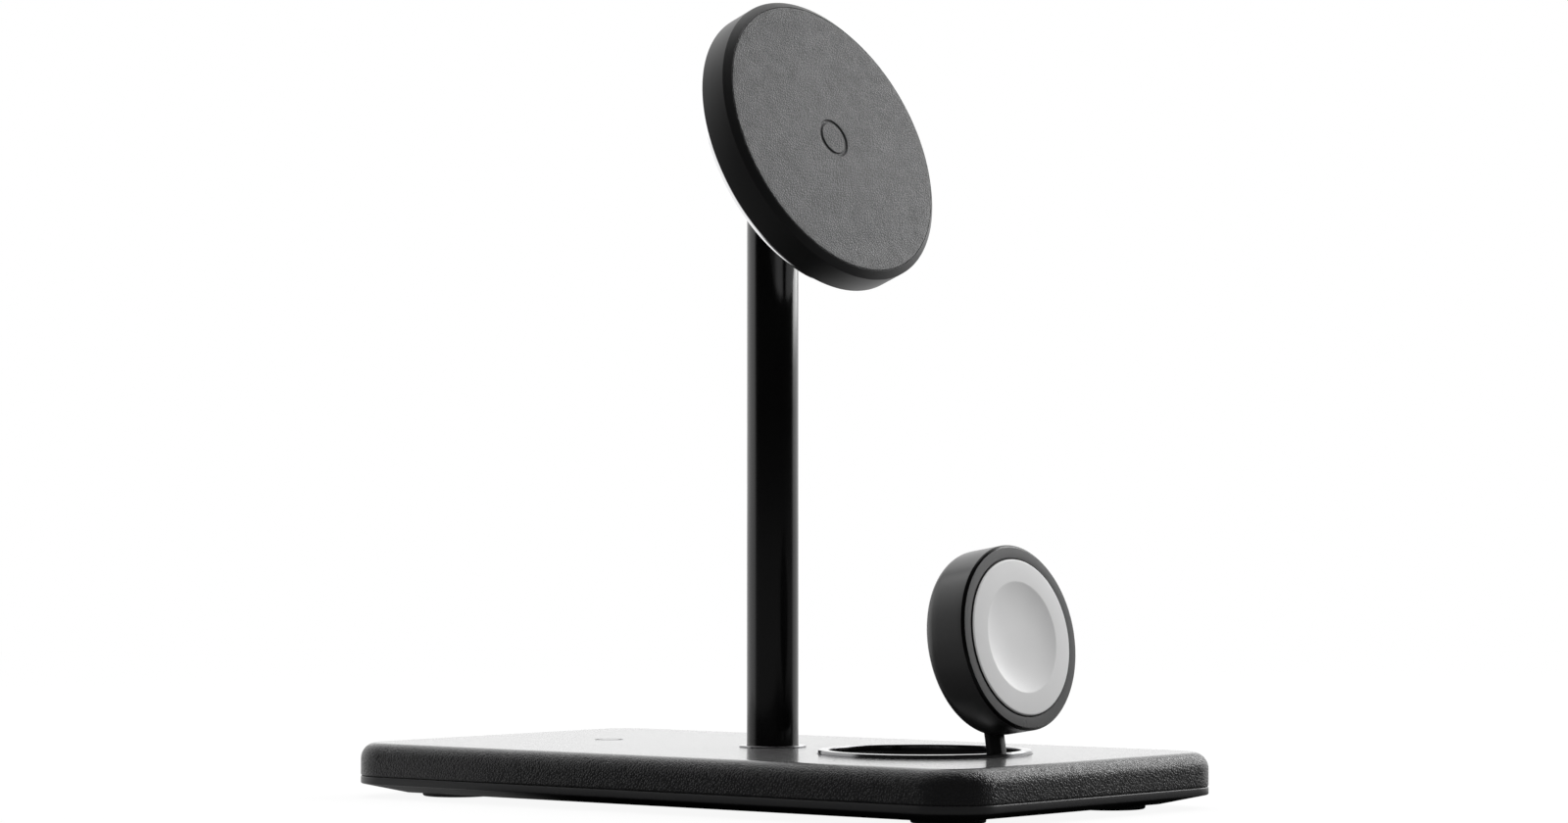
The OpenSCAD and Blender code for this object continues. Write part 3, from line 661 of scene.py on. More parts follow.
@dataclass(frozen=True)
class PolishedMetal(Finish):
    """Bare or plated metal with fine polishing marks round an axis.

    The rings' unit is 40 marks wide, and the rings are bent so far that they read as marks.
    """

    tones: Pair = (0.95, 1.05)
    haze: Pair = (-0.03, 0.05)
    depth: float = 0.0006
    strength: float = 0.25
    marks: float = 0.05
    axis: Seat = Seat()
    cloud: float = 6.0

    def wire(self, bench: Bench) -> None:
        """Wires the metal."""
        marks = bench.rings(self.axis, self.marks * 40, Distortion=6.0, Detail=3.0, Detail_Scale=2.0)
        self.coat(bench, bench.noise(self.cloud), marks, Metallic=1.0)


@dataclass(frozen=True)
class WoundWire(Finish):
    """Flat wound enamelled wire: round turns about an axis, one pitch apart.

    The rings repeat every 2 pi / 20 of their unit, so that is 20 pitches over 2 pi.
    """

    tones: Pair = (0.35, 1.0)
    depth: float = 0.25
    strength: float = 0.8
    pitch: float = 0.9
    axis: Seat = Seat()

    def wire(self, bench: Bench) -> None:
        """Wires the winding."""
        turns = bench.rings(self.axis, 20 * self.pitch / (2 * math.pi), Distortion=0.15, Detail=1.0)
        self.coat(bench, turns, turns, Metallic=0.85)


@dataclass(frozen=True)
class PrintedBoard(Finish):
    """Circuit board: solder mask over faint tracks, with small pads."""

    tones: Pair = (1.0, 2.4)
    depth: float = 0.03
    track: float = 7.0
    pad: float = 2.4

    def wire(self, bench: Bench) -> None:
        """Wires the board: the tracks and the pads make both its height and its tone.

        Args:
            bench: The material's bench.
        """
        bricks = bench.pattern("TexBrick", self.track, Mortar_Size=0.03, Brick_Width=0.9, Row_Height=0.3)
        tracks = bench.span(bricks.outputs[1], (0.0, 1.0), (0.0, 0.6))
        pads = bench.span(bench.cells(self.pad, Pebble.DOT), (0.12, 0.2), (1.0, 0.0))
        lines = bench.sum_of(tracks, pads, 0.8)
        self.coat(bench, lines, lines)


@dataclass(frozen=True)
class CastStock(Finish):
    """Sintered, moulded or rolled stock inside the case: a mottled tone and a coarse skin."""

    tones: Pair = (0.82, 1.16)
    haze: Pair = (-0.06, 0.08)
    depth: float = 0.012
    strength: float = 0.6
    metal: float = 0.0
    grit: float = 0.4

    def wire(self, bench: Bench) -> None:
        """Wires the stock."""
        mottle = bench.noise(self.grit * 6, 4.0, 0.65)
        self.coat(bench, mottle, bench.noise(self.grit), Metallic=self.metal)


@dataclass(frozen=True)
class SoftRubber(Finish):
    """Foot rubber: matt, with fine pores."""

    tones: Pair = (0.85, 1.2)
    depth: float = 0.02
    pore: float = 0.5
    skin: float = 0.25
    cloud: float = 4.0

    def wire(self, bench: Bench) -> None:
        """Wires the rubber."""
        pores = bench.span(bench.cells(self.pore, Pebble.DOT), (0.0, 0.25), (0.0, 1.0))
        self.coat(bench, bench.noise(self.cloud), bench.sum_of(pores, bench.noise(self.skin), 0.5))


# Sub-assemblies


@dataclass(frozen=True)
class PressedRing:
    """A plain ring pressed into flat leather."""

    radius: float
    width: float = 0.5
    depth: float = 0.25
    brink: float = 0.15
    foot: float = 0.06
    rounding: tuple[float, ...] = (0, 0.18, 0.1, 0.1, 0.18)

    def corners(self, z: float) -> list[Pair]:
        """The ring's corners in a top, from the middle out.

        Args:
            z: The top's height.

        Returns:
            Pairs of radius and height.
        """
        inner, outer, low = self.radius - self.width, self.radius, z - self.depth
        dip = [(inner + self.foot, low), (outer - self.foot, low)]
        return [(0.0, z), (inner - self.brink, z), *dip, (outer + self.brink, z)]


def straight(start: Pair, end: Pair, gap: float = 1.6) -> np.ndarray:
    """Even points along a straight stretch of an outline, without its last one.

    Args:
        start: Where it starts.
        end: Where it ends.
        gap: The rough distance between points.

    Returns:
        Rows of place and outward direction, four columns.
    """
    a, b = np.array(start, float), np.array(end, float)
    n = max(int(math.ceil(np.linalg.norm(b - a) / gap)), 2)
    t = np.linspace(0, 1, n, endpoint=False)[:, None]
    along = (b - a) / np.linalg.norm(b - a)
    return np.hstack([a + t * (b - a), np.tile([along[1], -along[0]], (n, 1))])


AROUND = ("right_front right_mid right_rear corner_rr rear_right rear_mid rear_left corner_rl "
          "left_rear left_mid left_front corner_fl front corner_fr").split()
FRONT_FIELD = "right_front split_1 left_front corner_fl front corner_fr".split()
MIDDLE_FIELD = "right_mid split_2 left_mid split_1_back".split()
REAR_FIELD = [*AROUND[2:9], "split_2_back"]


@dataclass(frozen=True)
class BaseBox:
    """The leather-covered base with its band, its feet and its polished ring."""

    half_w: float = 40.25
    half_l: float = 73.75
    corner: float = 9.6
    top_z: float = 10.2
    round_r: float = 3.0
    seam_z: float = 4.0
    hem: float = 1.2
    hem_round: float = 0.35
    edge_step: float = 0.6
    skin: float = 0.3
    lip_round: float = 0.22
    lip_flat: float = 1.0
    band_z: float = 2.5
    band_depth: float = 3.0
    band_round: float = 0.3
    pocket_y: float = -34.9
    pocket_r: float = 17.4
    ring_r: float = 19.34
    ring_seat_z: float = 9.8
    ring_top_z: float = 10.9
    seat_gap: float = 0.1
    notch_half: float = 2.3
    notch_out: float = 0.7
    notch_in: float = 4.0
    notch_top: float = 20.0
    post_y: float = 0.8
    post_hole: float = 4.9
    post_hole_deep: float = 1.0
    pad_y: float = 41.5
    mark: PressedRing = PressedRing(2.7)
    mark_flat: float = 1.2
    socket_w: float = 9.14
    socket_h: float = 3.4
    socket_z: float = 6.0
    socket_wall: float = 8.0
    socket_step: float = 0.8
    mouth_deep: float = 1.6
    mouth_round: float = 0.18
    mouth_turn: Pair = (0.3, 0.055)
    splits: Pair = (-10.0, 12.0)
    foot_x: float = 24.0
    foot_y: float = 58.5
    foot_r: float = 6.6
    foot_top: float = 0.9
    foot_sunk: float = 0.12
    foot_brim: Pair = (1.6, 1.2)

    def bend(self, sx: int, sy: int, start_deg: float, steps: int = 24) -> np.ndarray:
        """Points round one corner of the outline, without the last one.

        Each stands at the corner's centre plus the radius times its outward direction.

        Args:
            sx: Which side across.
            sy: Which side lengthways.
            start_deg: The direction that the corner starts with.
            steps: How many steps the quarter turn has.

        Returns:
            Rows of place and outward direction, four columns.
        """
        a = np.radians(start_deg + np.linspace(0, 90, steps, endpoint=False))
        out = np.column_stack([np.cos(a), np.sin(a)])
        centre = np.array([sx * (self.half_w - self.corner), sy * (self.half_l - self.corner)])
        return np.hstack([centre + out * (self.corner - self.round_r), out])

    def stretches(self) -> dict[str, np.ndarray]:
        """The stretches of the top's edge, where its rounding starts, and of the two lines that split it.

        Returns:
            Rows of place and outward direction for each stretch, anticlockwise.
        """
        a, b = self.half_w - self.round_r, self.half_l - self.round_r
        c, d = self.half_w - self.corner, self.half_l - self.corner
        w, (y1, y2) = self.socket_wall, self.splits
        ends = {
            "right_front": ((a, -d), (a, y1)), "right_mid": ((a, y1), (a, y2)),
            "right_rear": ((a, y2), (a, d)), "rear_right": ((c, b), (w, b)),
            "rear_left": ((-w, b), (-c, b)), "left_rear": ((-a, d), (-a, y2)),
            "left_mid": ((-a, y2), (-a, y1)), "left_front": ((-a, y1), (-a, -d)),
            "front": ((-c, -b), (c, -b)),
            "split_1": ((a, y1), (-a, y1)), "split_1_back": ((-a, y1), (a, y1)),
            "split_2": ((a, y2), (-a, y2)), "split_2_back": ((-a, y2), (a, y2)),
        }
        found = {name: straight(*pair) for name, pair in ends.items()}
        found["rear_mid"] = straight((w, b), (-w, b), self.socket_step)
        corners = {"corner_rr": (1, 1), "corner_rl": (-1, 1), "corner_fl": (-1, -1), "corner_fr": (1, -1)}
        for turn, (name, sides) in enumerate(corners.items()):
            found[name] = self.bend(*sides, 90 * turn)
        return found

    def run(self, names: Sequence[str]) -> np.ndarray:
        """The named stretches one after another, as one array."""
        found = self.stretches()
        return np.vstack([found[name] for name in names])

    def top_field(self, names: Sequence[str], centre_y: float, rings: np.ndarray, rows: int = 22) -> Patch:
        """One field of the top: rings about a centre that widen into the field's edge.

        A point of the edge at angle a about the centre is joined to the outermost ring's
        point at the same angle, and the rows between them are even mixes of the two.

        Args:
            names: The stretches of the field's edge, anticlockwise.
            centre_y: The centre's place lengthways.
            rings: Pairs of radius and height, from the inside out.
            rows: How many rows lie between the last ring and the edge.

        Returns:
            The field.
        """
        loop = self.run(names)[:, :2]
        centre = np.array([0.0, centre_y])
        unit = (loop - centre) / np.linalg.norm(loop - centre, axis=1, keepdims=True)
        heights = np.broadcast_to(rings[:, None, 1:], (len(rings), len(loop), 1))
        inner = np.concatenate([centre + rings[:, None, :1] * unit[None], heights], -1)
        t = np.linspace(0, 1, rows + 1)[1:, None, None]
        flat = inner[-1:, :, :2] * (1 - t) + loop[None] * t
        outer = np.concatenate([flat, np.full((*flat.shape[:2], 1), rings[-1, 1])], -1)
        return Patch(np.concatenate([inner, outer]), False, True)

    def edge_profile(self) -> np.ndarray:
        """The cover's edge from the top to its hem, with a quarter circle and a small one at the hem.

        Returns:
            Pairs of inset from the outline and height.
        """
        corners = [(self.round_r, self.top_z), (0.0, self.top_z), (0.0, self.seam_z), (self.hem, self.seam_z)]
        turn = soft_profile(corners, [0, self.round_r, self.hem_round, 0], 12, False)
        return refined(turn[1:], self.edge_step)

    def skirt(self, edge: np.ndarray, profile: np.ndarray) -> np.ndarray:
        """Carries a profile along a stretch: place plus outward direction times what the inset leaves.

        Args:
            edge: Rows of place and outward direction.
            profile: Pairs of inset and height.

        Returns:
            The skirt's grid of points.
        """
        flat = edge[:, None, :2] + edge[:, None, 2:] * (self.round_r - profile[None, :, :1])
        z = np.broadcast_to(profile[None, :, 1:], (len(edge), len(profile), 1))
        return np.concatenate([flat, z], -1)

    def socket_field(self, edge: np.ndarray, profile: np.ndarray) -> Patch:
        """The stretch of the rear wall round the socket's mouth.

        The wall is unrolled to a plane of place across and length down the profile. A ray
        from the mouth's middle meets the mouth, a bar with round ends, and the field's edge;
        the rows mix the two and are rolled back on to the wall. The mouth's rim turns in.

        Args:
            edge: The top edge's rows over this stretch, with both ends.
            profile: Pairs of inset and height.

        Returns:
            The field.
        """
        down = np.concatenate([[0.0], np.cumsum(np.linalg.norm(np.diff(profile, axis=0), axis=1))])
        s = edge[:, 0]
        no_drop, no_shift = np.zeros(len(s) - 1), np.zeros(len(down) - 1)
        sides = [(s[:-1], no_drop), (no_shift + s[-1], down[:-1]),
                 (s[::-1][:-1], no_drop + down[-1]), (no_shift + s[0], down[::-1][:-1])]
        loop = np.concatenate([np.column_stack(side) for side in sides])
        wall = np.argmax(profile[:, 0] < 1e-6)
        middle = np.array([0.0, down[wall] + profile[wall, 1] - self.socket_z])
        unit = (loop - middle) / np.linalg.norm(loop - middle, axis=1, keepdims=True)
        q, c = self.socket_h / 2, (self.socket_w - self.socket_h) / 2
        ca, sa = np.abs(unit[:, 0]), np.maximum(np.abs(unit[:, 1]), 1e-9)
        round_end = c * ca + np.sqrt(np.maximum(q * q - (c * sa) ** 2, 0.0))
        reach = np.where(q / sa * ca <= c, q / sa, round_end)
        mouth = middle + unit * reach[:, None]
        soft = middle + unit * (reach + self.mouth_round)[:, None]
        t = np.concatenate([[0.0], np.linspace(0.02, 1, 12)])[:, None, None]
        flat = soft[None] * (1 - t) + loop[None] * t
        share, turn = self.mouth_turn
        rows = np.concatenate([np.array([mouth, mouth, mouth + (soft - mouth) * share]), flat])
        depth = np.concatenate([[self.mouth_deep, self.mouth_round, turn], np.zeros(len(flat))])[:, None]
        inset, z = (np.interp(rows[..., 1], down, column) for column in profile.T)
        return Patch(np.stack([rows[..., 0], self.half_l - inset - depth, z], -1), False, True)

    def lip(self, radius: float, drop: float) -> np.ndarray:
        """The rounded lip of a round hole in the top, as pairs of radius and height, and drop deep."""
        corners = [(radius, self.top_z - drop), (radius, self.top_z), (radius + self.lip_flat, self.top_z)]
        return soft_profile(corners, [0, self.lip_round, 0], 5, False)

    def cover(self) -> Mesh:
        """The leather skin: three fields on the top, the rounded skirt and the socket's field.

        Returns:
            The mesh.
        """
        found, profile, mark = self.stretches(), self.edge_profile(), self.mark
        pressed = [*mark.corners(self.top_z), (mark.radius + self.mark_flat, self.top_z)]
        pad = soft_profile(pressed, [*mark.rounding, 0], 5, False)
        pocket = self.lip(self.ring_r + self.seat_gap, self.top_z - self.ring_seat_z)
        post = self.lip(self.post_hole, self.post_hole_deep)
        run = np.vstack([self.run(AROUND[6:] + AROUND[:5]), found["rear_mid"][:1]])
        across = np.vstack([found["rear_mid"], found["rear_left"][:1]])
        patches = [
            self.top_field(FRONT_FIELD, self.pocket_y, pocket),
            self.top_field(MIDDLE_FIELD, self.post_y, post),
            self.top_field(REAR_FIELD, self.pad_y, pad),
            Patch(self.skirt(run, profile)),
            self.socket_field(across, profile),
        ]
        return woven_mesh("leather_cover", patches, sharp_deg=40)

    def band(self) -> Mesh:
        """The smooth band under the seam: a closed profile with eased edges, carried round the outline.

        Returns:
            The mesh.
        """
        ease = self.band_round
        corners = section(self.band_depth, 0.0, self.band_z, self.seam_z)
        profile = soft_profile(corners, [0.05, ease, ease, 0.05], 5)
        return woven_mesh("seam_band", [Patch(self.skirt(self.run(AROUND), profile), True, True)])

    def polished_ring(self) -> Mesh:
        """The ring round the pocket, spun with eased edges and notched in front for the arm.

        Returns:
            The mesh.
        """
        corners = section(self.pocket_r, self.ring_r, self.ring_seat_z, self.ring_top_z)
        seat = Seat((0.0, self.pocket_y, 0.0))
        ring = spun("polished_ring", soft_profile(corners, [0.05, 0.05, 0.22, 0.18]), 288, seat)
        low = (-self.notch_half, -self.pocket_r - self.notch_out, 0.0)
        high = (self.notch_half, -self.pocket_r + self.notch_in, self.notch_top)
        return carved(ring, [woven_mesh("notch", block(low, high), seat)])

    def feet(self) -> Mesh:
        """Four rubber feet, each a spun pad with a soft edge and a slightly sunk middle.

        Returns:
            The mesh.
        """
        r, top, sunk = self.foot_r, self.foot_top, self.foot_sunk
        inner, outer = (r - brim for brim in self.foot_brim)
        corners = [(0.0, sunk), (inner, sunk), (outer, 0.0), (r, 0.0), (r, top), (0.0, top)]
        pad = lathe(soft_profile(corners, [0, 0.1, 0.1, 0.4, 0.05, 0], 5, False), 72, False)
        places = [(sx * self.foot_x, sy * self.foot_y, 0.0) for sx in (-1, 1) for sy in (-1, 1)]
        return woven_mesh("grip_feet", [pad.moved(place) for place in places])


@dataclass(frozen=True)
class Post:
    """The round post and its collar."""

    y: float = 0.8
    radius: float = 4.8
    bore: float = 3.6
    foot_z: float = 3.8
    top_z: float = 109.2
    collar_gap: float = 0.1
    collar_r: float = 6.25
    collar_h: float = 0.3
    leather_z: float = 10.2

    @property
    def seat(self) -> Seat:
        """The post's axis."""
        return Seat((0.0, self.y, 0.0))

    def barrel(self) -> Mesh:
        """The post's tube, spun from a closed profile with eased ends."""
        corners = section(self.bore, self.radius, self.foot_z, self.top_z)
        return spun("post_barrel", soft_profile(corners, [0.05, 0.1, 0.04, 0.04], 4), 160, self.seat)

    def collar(self) -> Mesh:
        """The thin collar on the leather, spun with a rounded upper edge.

        Returns:
            The mesh.
        """
        low, high = self.leather_z, self.leather_z + self.collar_h
        corners = section(self.radius + self.collar_gap, self.collar_r, low, high)
        return spun("foot_collar", soft_profile(corners, [0.02, 0.02, 0.14, 0.05], 5), 160, self.seat)


@dataclass(frozen=True)
class PhoneHead:
    """The tilting phone disc: leather pad, bevelled rim and bright back shell."""

    radius: float = 28.0
    depth: float = 8.2
    bevel: float = 1.4
    bevel_t: float = 1.07
    pad_t: float = 1.2
    pad_gap: float = 0.04
    pad_step: float = 0.9
    pad_fade: float = 2.0
    mark: PressedRing = PressedRing(3.6)
    rim_back: float = 1.8
    rim_wall: float = 1.6
    ledge: float = 1.0
    ledge_t: float = 0.8
    back_r: float = 27.3
    back_round: float = 1.6
    back_gap: float = 0.1
    wall: float = 1.2
    neck_w: float = 4.2
    neck_d: float = 5.0
    neck_cut: Pair = (-2.0, 5.0)
    screw_ring: float = 6.6
    screw_r: float = 0.8
    screw_cut: Pair = (-1.0, 4.0)
    lean: float = 21.5
    neck_l: float = 7.5
    pivot: Triple = (0.0, 0.8, 116.9)

    @property
    def seat(self) -> Seat:
        """The frame on the disc's back, its Z along the face's direction.

        Returns:
            The seat.
        """
        turn = math.radians(90 - self.lean)
        x, y, z = self.pivot
        origin = (x, y - self.neck_l * math.sin(turn), z + self.neck_l * math.cos(turn))
        return Seat(origin, 90 - self.lean)

    def pad(self) -> Mesh:
        """The leather pad with a plain pressed ring and a slightly uneven cut edge.

        The cut edge's radius is the pad's plus a sum of three small waves of the angle, which
        fade out over the outermost 2 mm.

        Returns:
            The mesh.
        """
        r, z, low = self.radius - self.bevel - self.pad_gap, self.depth, self.depth - self.pad_t
        corners = [*self.mark.corners(z), (r, z), (r, low), (0.0, low)]
        rounded = soft_profile(corners, [*self.mark.rounding, 0.18, 0.05, 0], 6, False)
        points = lathe(refined(rounded, self.pad_step), 256, False).points
        a = np.arctan2(points[..., 1], points[..., 0])
        reach = np.hypot(points[..., 0], points[..., 1])
        wave = 0.012 * np.sin(23 * a) + 0.009 * np.sin(41 * a + 1.3) + 0.007 * np.sin(67 * a + 0.4)
        fade = np.clip((reach - r + self.pad_fade) / self.pad_fade, 0, 1)
        points[..., :2] *= (1 + wave * fade / np.maximum(reach, 1.0))[..., None]
        return woven_mesh("leather_pad", [Patch(points, True, False)], self.seat, 50)

    def rim(self) -> Mesh:
        """The smooth rim, spun from a closed profile with a straight bevel towards the face.

        Returns:
            The mesh.
        """
        r, z, low = self.radius, self.depth, self.depth - self.pad_t
        bore, face = r - self.rim_wall, r - self.bevel
        ledge, under = bore - self.ledge, low - self.ledge_t
        corners = [(bore, self.rim_back), (r, self.rim_back), (r, z - self.bevel_t), (face, z),
                   (face, low), (ledge, low), (ledge, under), (bore, under)]
        profile = soft_profile(corners, [0.05, 0.22, 0.16, 0.05, 0.03, 0.03, 0.03, 0.03])
        return spun("phone_rim", profile, 320, self.seat)

    def back_shell(self) -> Mesh:
        """The bright back shell: a spun cup with a round edge, cut for the neck and four screws.

        Returns:
            The mesh.
        """
        r, wall, back = self.back_r, self.wall, self.rim_back
        inner = self.radius - self.rim_wall - self.back_gap
        corners = [(0.0, 0.0), (r, 0.0), (r, back), (inner, back), (inner, back + wall),
                   (inner - wall, back + wall), (inner - wall, wall), (0.0, wall)]
        profile = soft_profile(corners, [0, self.back_round, 0.1, 0.05, 0.05, 0.05, 0.3, 0], 10, False)
        half_w, half_d, (low, high) = self.neck_w / 2, self.neck_d / 2, self.neck_cut
        cutters = [woven_mesh("neck_room", block((-half_w, -half_d, low), (half_w, half_d, high)), self.seat)]
        bore = section(0.0, self.screw_r, *self.screw_cut)
        drill = lathe(soft_profile(bore, [0, 0, 0, 0], 1, False), 32, False)
        for quarter in range(4):
            a = math.radians(45 + 90 * quarter)
            place = (self.screw_ring * math.cos(a), self.screw_ring * math.sin(a), 0.0)
            cutters.append(woven_mesh("drill", [drill.moved(place)], self.seat))
        return carved(spun("back_shell", profile, 256, self.seat, False), cutters)


@dataclass(frozen=True)
class WatchDisc:
    """The folding watch disc: its housing, its pale dished face, a black ring that paints the shade in the
    gap round the face, and a black strip that paints a dark reflection on the chamfer.
    """

    radius: float = 16.65
    depth: float = 9.4
    round_r: float = 2.5
    shell_step: float = 1.2
    face_r: float = 14.0
    face_gap: float = 0.25
    face_seat: float = 7.8
    face_top: float = 9.75
    face_round: float = 0.3
    gap_shade_top: float = 9.56
    gap_shade_low: float = 8.6
    gap_shade_clearance: float = 0.01
    chamfer: float = 0.5
    strip_trim: float = 0.025
    strip_proud: float = 0.012
    dish_r: float = 10.0
    dish_depth: float = 0.8
    dish_power: float = 3.2
    dish_rows: int = 44
    dish_brink: float = 0.12
    ledge_z: float = 5.8
    floor_z: float = 3.2
    inner_r: float = 12.8
    tang_w: float = 4.1
    tang_end: float = -5.8
    tang_z: float = 3.45
    tang_over: float = 1.0
    hinge: Triple = (0.0, -57.66, 8.65)
    fold: float = 80.8
    reach: float = 22.76
    drop: float = 6.95

    @property
    def seat(self) -> Seat:
        """The frame on the disc's back when it is raised, its Z along the face's direction.

        Returns:
            The seat.
        """
        c, s = math.cos(math.radians(self.fold)), math.sin(math.radians(self.fold))
        x, y, z = self.hinge
        origin = (x, y + self.reach * c + self.drop * s, z + self.reach * s - self.drop * c)
        return Seat(origin, self.fold)

    def housing(self) -> Mesh:
        """The round housing, spun from a closed profile and slotted behind for the arm's tang.

        Returns:
            The mesh.
        """
        mouth, rim, z = self.face_r + self.face_gap, self.radius - self.chamfer, self.depth
        inner, ledge, floor = self.inner_r, self.ledge_z, self.floor_z
        corners = [(0.0, 0.0), (self.radius, 0.0), (self.radius, z - self.chamfer), (rim, z), (mouth, z),
                   (mouth, ledge), (inner, ledge), (inner, floor), (0.0, floor)]
        profile = soft_profile(corners, [0, self.round_r, 0.12, 0.12, 0.12, 0.05, 0.05, 0.05, 0], 10, False)
        shell = spun("watch_housing", refined(profile, self.shell_step), 256, self.seat, False)
        low = (-self.tang_w / 2, -self.radius - self.tang_over, -self.tang_over)
        slot = block(low, (self.tang_w / 2, self.tang_end, self.tang_z))
        return carved(shell, [woven_mesh("tang_slot", slot, self.seat)])

    def face(self) -> Mesh:
        """The pale charging face: a spun disc with a soft edge and a shallow dish.

        The dish is as deep as one minus a power of the share of its radius, so that its
        middle is nearly flat and its wall is steepest at its crisp edge.

        Returns:
            The mesh.
        """
        top, low = self.face_top, self.face_seat
        r = np.linspace(0.0, self.dish_r, self.dish_rows)
        bowl = np.column_stack([r, top - self.dish_depth * (1 - (r / self.dish_r) ** self.dish_power)])
        corners = [(self.dish_r + self.dish_brink, top), (self.face_r, top), (self.face_r, low), (0.0, low)]
        rest = soft_profile(corners, [0, self.face_round, 0.05, 0], 8, False)
        return spun("watch_face", np.vstack([bowl, rest]), 224, self.seat, False)

    def painted_gap_ring(self) -> Mesh:
        """A thin black ring in the gap round the face, painted shade of the gap, spun with a rounded top.

        Returns:
            The mesh.
        """
        inner, outer = self.face_r + self.gap_shade_clearance, self.face_r + self.face_gap - self.gap_shade_clearance
        corners = section(inner, outer, self.gap_shade_low, self.gap_shade_top)
        return spun("painted_gap_shade", soft_profile(corners, [0.02, 0.02, 0.1, 0.1], 5), 224, self.seat)

    def painted_reflection_strip(self) -> Mesh:
        """A black strip of painted dark reflection on the housing's chamfer: as wide as it and a hair proud.

        Returns:
            The mesh.
        """
        trim, proud, sunk = self.strip_trim, self.strip_proud, self.strip_proud * 3
        low = np.array([self.radius - trim, self.depth - self.chamfer + trim])
        high = np.array([self.radius - self.chamfer + trim, self.depth - trim])
        profile = soft_profile([low - sunk, low + proud, high + proud, high - sunk], [0.005] * 4, 2)
        return spun("painted_reflection_strip", profile, 256, self.seat)


# Finishes of this object

RING_AXIS = Seat((0.0, -34.9, 0.0))
HEAD_AXIS = Seat((0.0, 0.8, 116.9), 68.5)
PAD_AXIS = Seat((0.0, 41.5, 0.0))
WATCH_AXIS = Seat((0.0, -47.16, 30.0), 80.8)
COPPER = (0.75, 0.36, 0.16)

# The head pad's leather below is the same black leather as the base's, with its colour set about four times
# lighter: painted light on the head's face.
LEATHER = PebbledLeather("grain_leather", (0.011, 0.011, 0.0118), 0.5, depth=0.052, glint=0.12, flat_z=10.2)
PAD_LEATHER_PAINTED_LIGHT = PebbledLeather("pad_leather_painted_light", (0.041, 0.041, 0.0425), 0.52, grain=0.5, depth=0.036,
                             wax=0.2, wax_dull=0.4, bloom=0.04)
RIM = MouldedPlastic("rim_plastic", (0.011, 0.011, 0.0115), 0.38)
HOUSING = MouldedPlastic("housing_plastic", (0.04, 0.04, 0.0405), 0.3, texture=0.1, glint=0.5)
BAND = MouldedPlastic("band_plastic", (0.026, 0.026, 0.027), 0.32)
TRAY = MouldedPlastic("tray_plastic", (0.008, 0.008, 0.0085), 0.5, texture=0.3, depth=0.01, glint=0.03)
POCKET = MouldedPlastic("pocket_plastic", (0.012, 0.012, 0.013), 0.5)
PALE = MouldedPlastic("pale_plastic", (0.82, 0.82, 0.82), 0.38, glint=0.3)
# Black rubber of the ring in the gap round the watch face: painted shade of the gap.
PAINTED_GAP_SHADE = SoftRubber("painted_gap_shade_rubber", (0.006, 0.006, 0.006), 0.7)
RUBBER = SoftRubber("foot_rubber", (0.01, 0.01, 0.01), 0.85)
# Black lacquer of the strip on the watch housing's chamfer: painted dark reflection.
PAINTED_REFLECTION_LACQUER = LacqueredMetal("painted_reflection_lacquer", (0.003, 0.003, 0.003), 0.2, index=1.3)
ARM = LacqueredMetal("arm_metal", (0.01, 0.01, 0.0101), 0.3, index=1.2)
BLACK = LacqueredMetal("black_metal", (0.002, 0.002, 0.0021), 0.17, index=1.5)
RING = PolishedMetal("ring_metal", (0.24, 0.24, 0.245), 0.12, axis=RING_AXIS)
BRIGHT = PolishedMetal("bright_metal", (0.84, 0.84, 0.85), 0.12, marks=0.06, axis=HEAD_AXIS)
SOCKET = PolishedMetal("socket_metal", (0.62, 0.62, 0.63), 0.22)
STEEL = CastStock("plain_steel", (0.55, 0.55, 0.56), 0.35, metal=1.0, grit=0.3, depth=0.004)
MAGNET = CastStock("magnet_nickel", (0.68, 0.67, 0.64), 0.24, metal=1.0, grit=0.5, depth=0.003)
BRONZE = CastStock("washer_bronze", (0.6, 0.42, 0.2), 0.35, metal=1.0, grit=0.3, depth=0.004)
FERRITE = CastStock("ferrite_sheet", (0.05, 0.05, 0.053), 0.6)
CHIPS = CastStock("chip_plastic", (0.025, 0.025, 0.027), 0.5)
SLEEVE = CastStock("lead_sleeve", (0.02, 0.02, 0.02), 0.55)
PLUG = CastStock("plug_plastic", (0.7, 0.67, 0.6), 0.45)
BOARD = PrintedBoard("circuit_board", (0.01, 0.07, 0.035), 0.35)
PAD_COIL = WoundWire("pad_winding", COPPER, 0.35, axis=PAD_AXIS)
HEAD_COIL = WoundWire("head_winding", COPPER, 0.35, axis=HEAD_AXIS)
WATCH_COIL = WoundWire("watch_winding", COPPER, 0.35, pitch=0.7, axis=WATCH_AXIS)

NODE_FINISHES: dict[Finish, str] = {
    TRAY: "bottom_tray",
    STEEL: "case_screws ballast_plate hinge_bracket bracket_screws hinge_pin post_clamp_plate "
           "post_nut tilt_pin lug_screws",
    BOARD: "main_board head_board disc_board",
    CHIPS: "board_parts usb_tongue",
    FERRITE: "earbud_ferrite head_ferrite disc_ferrite",
    MAGNET: "head_magnets disc_magnet",
    PAD_COIL: "earbud_coil", HEAD_COIL: "head_coil", WATCH_COIL: "disc_coil",
    SLEEVE: "head_lead", PLUG: "lead_plug", BRONZE: "tilt_washers",
}


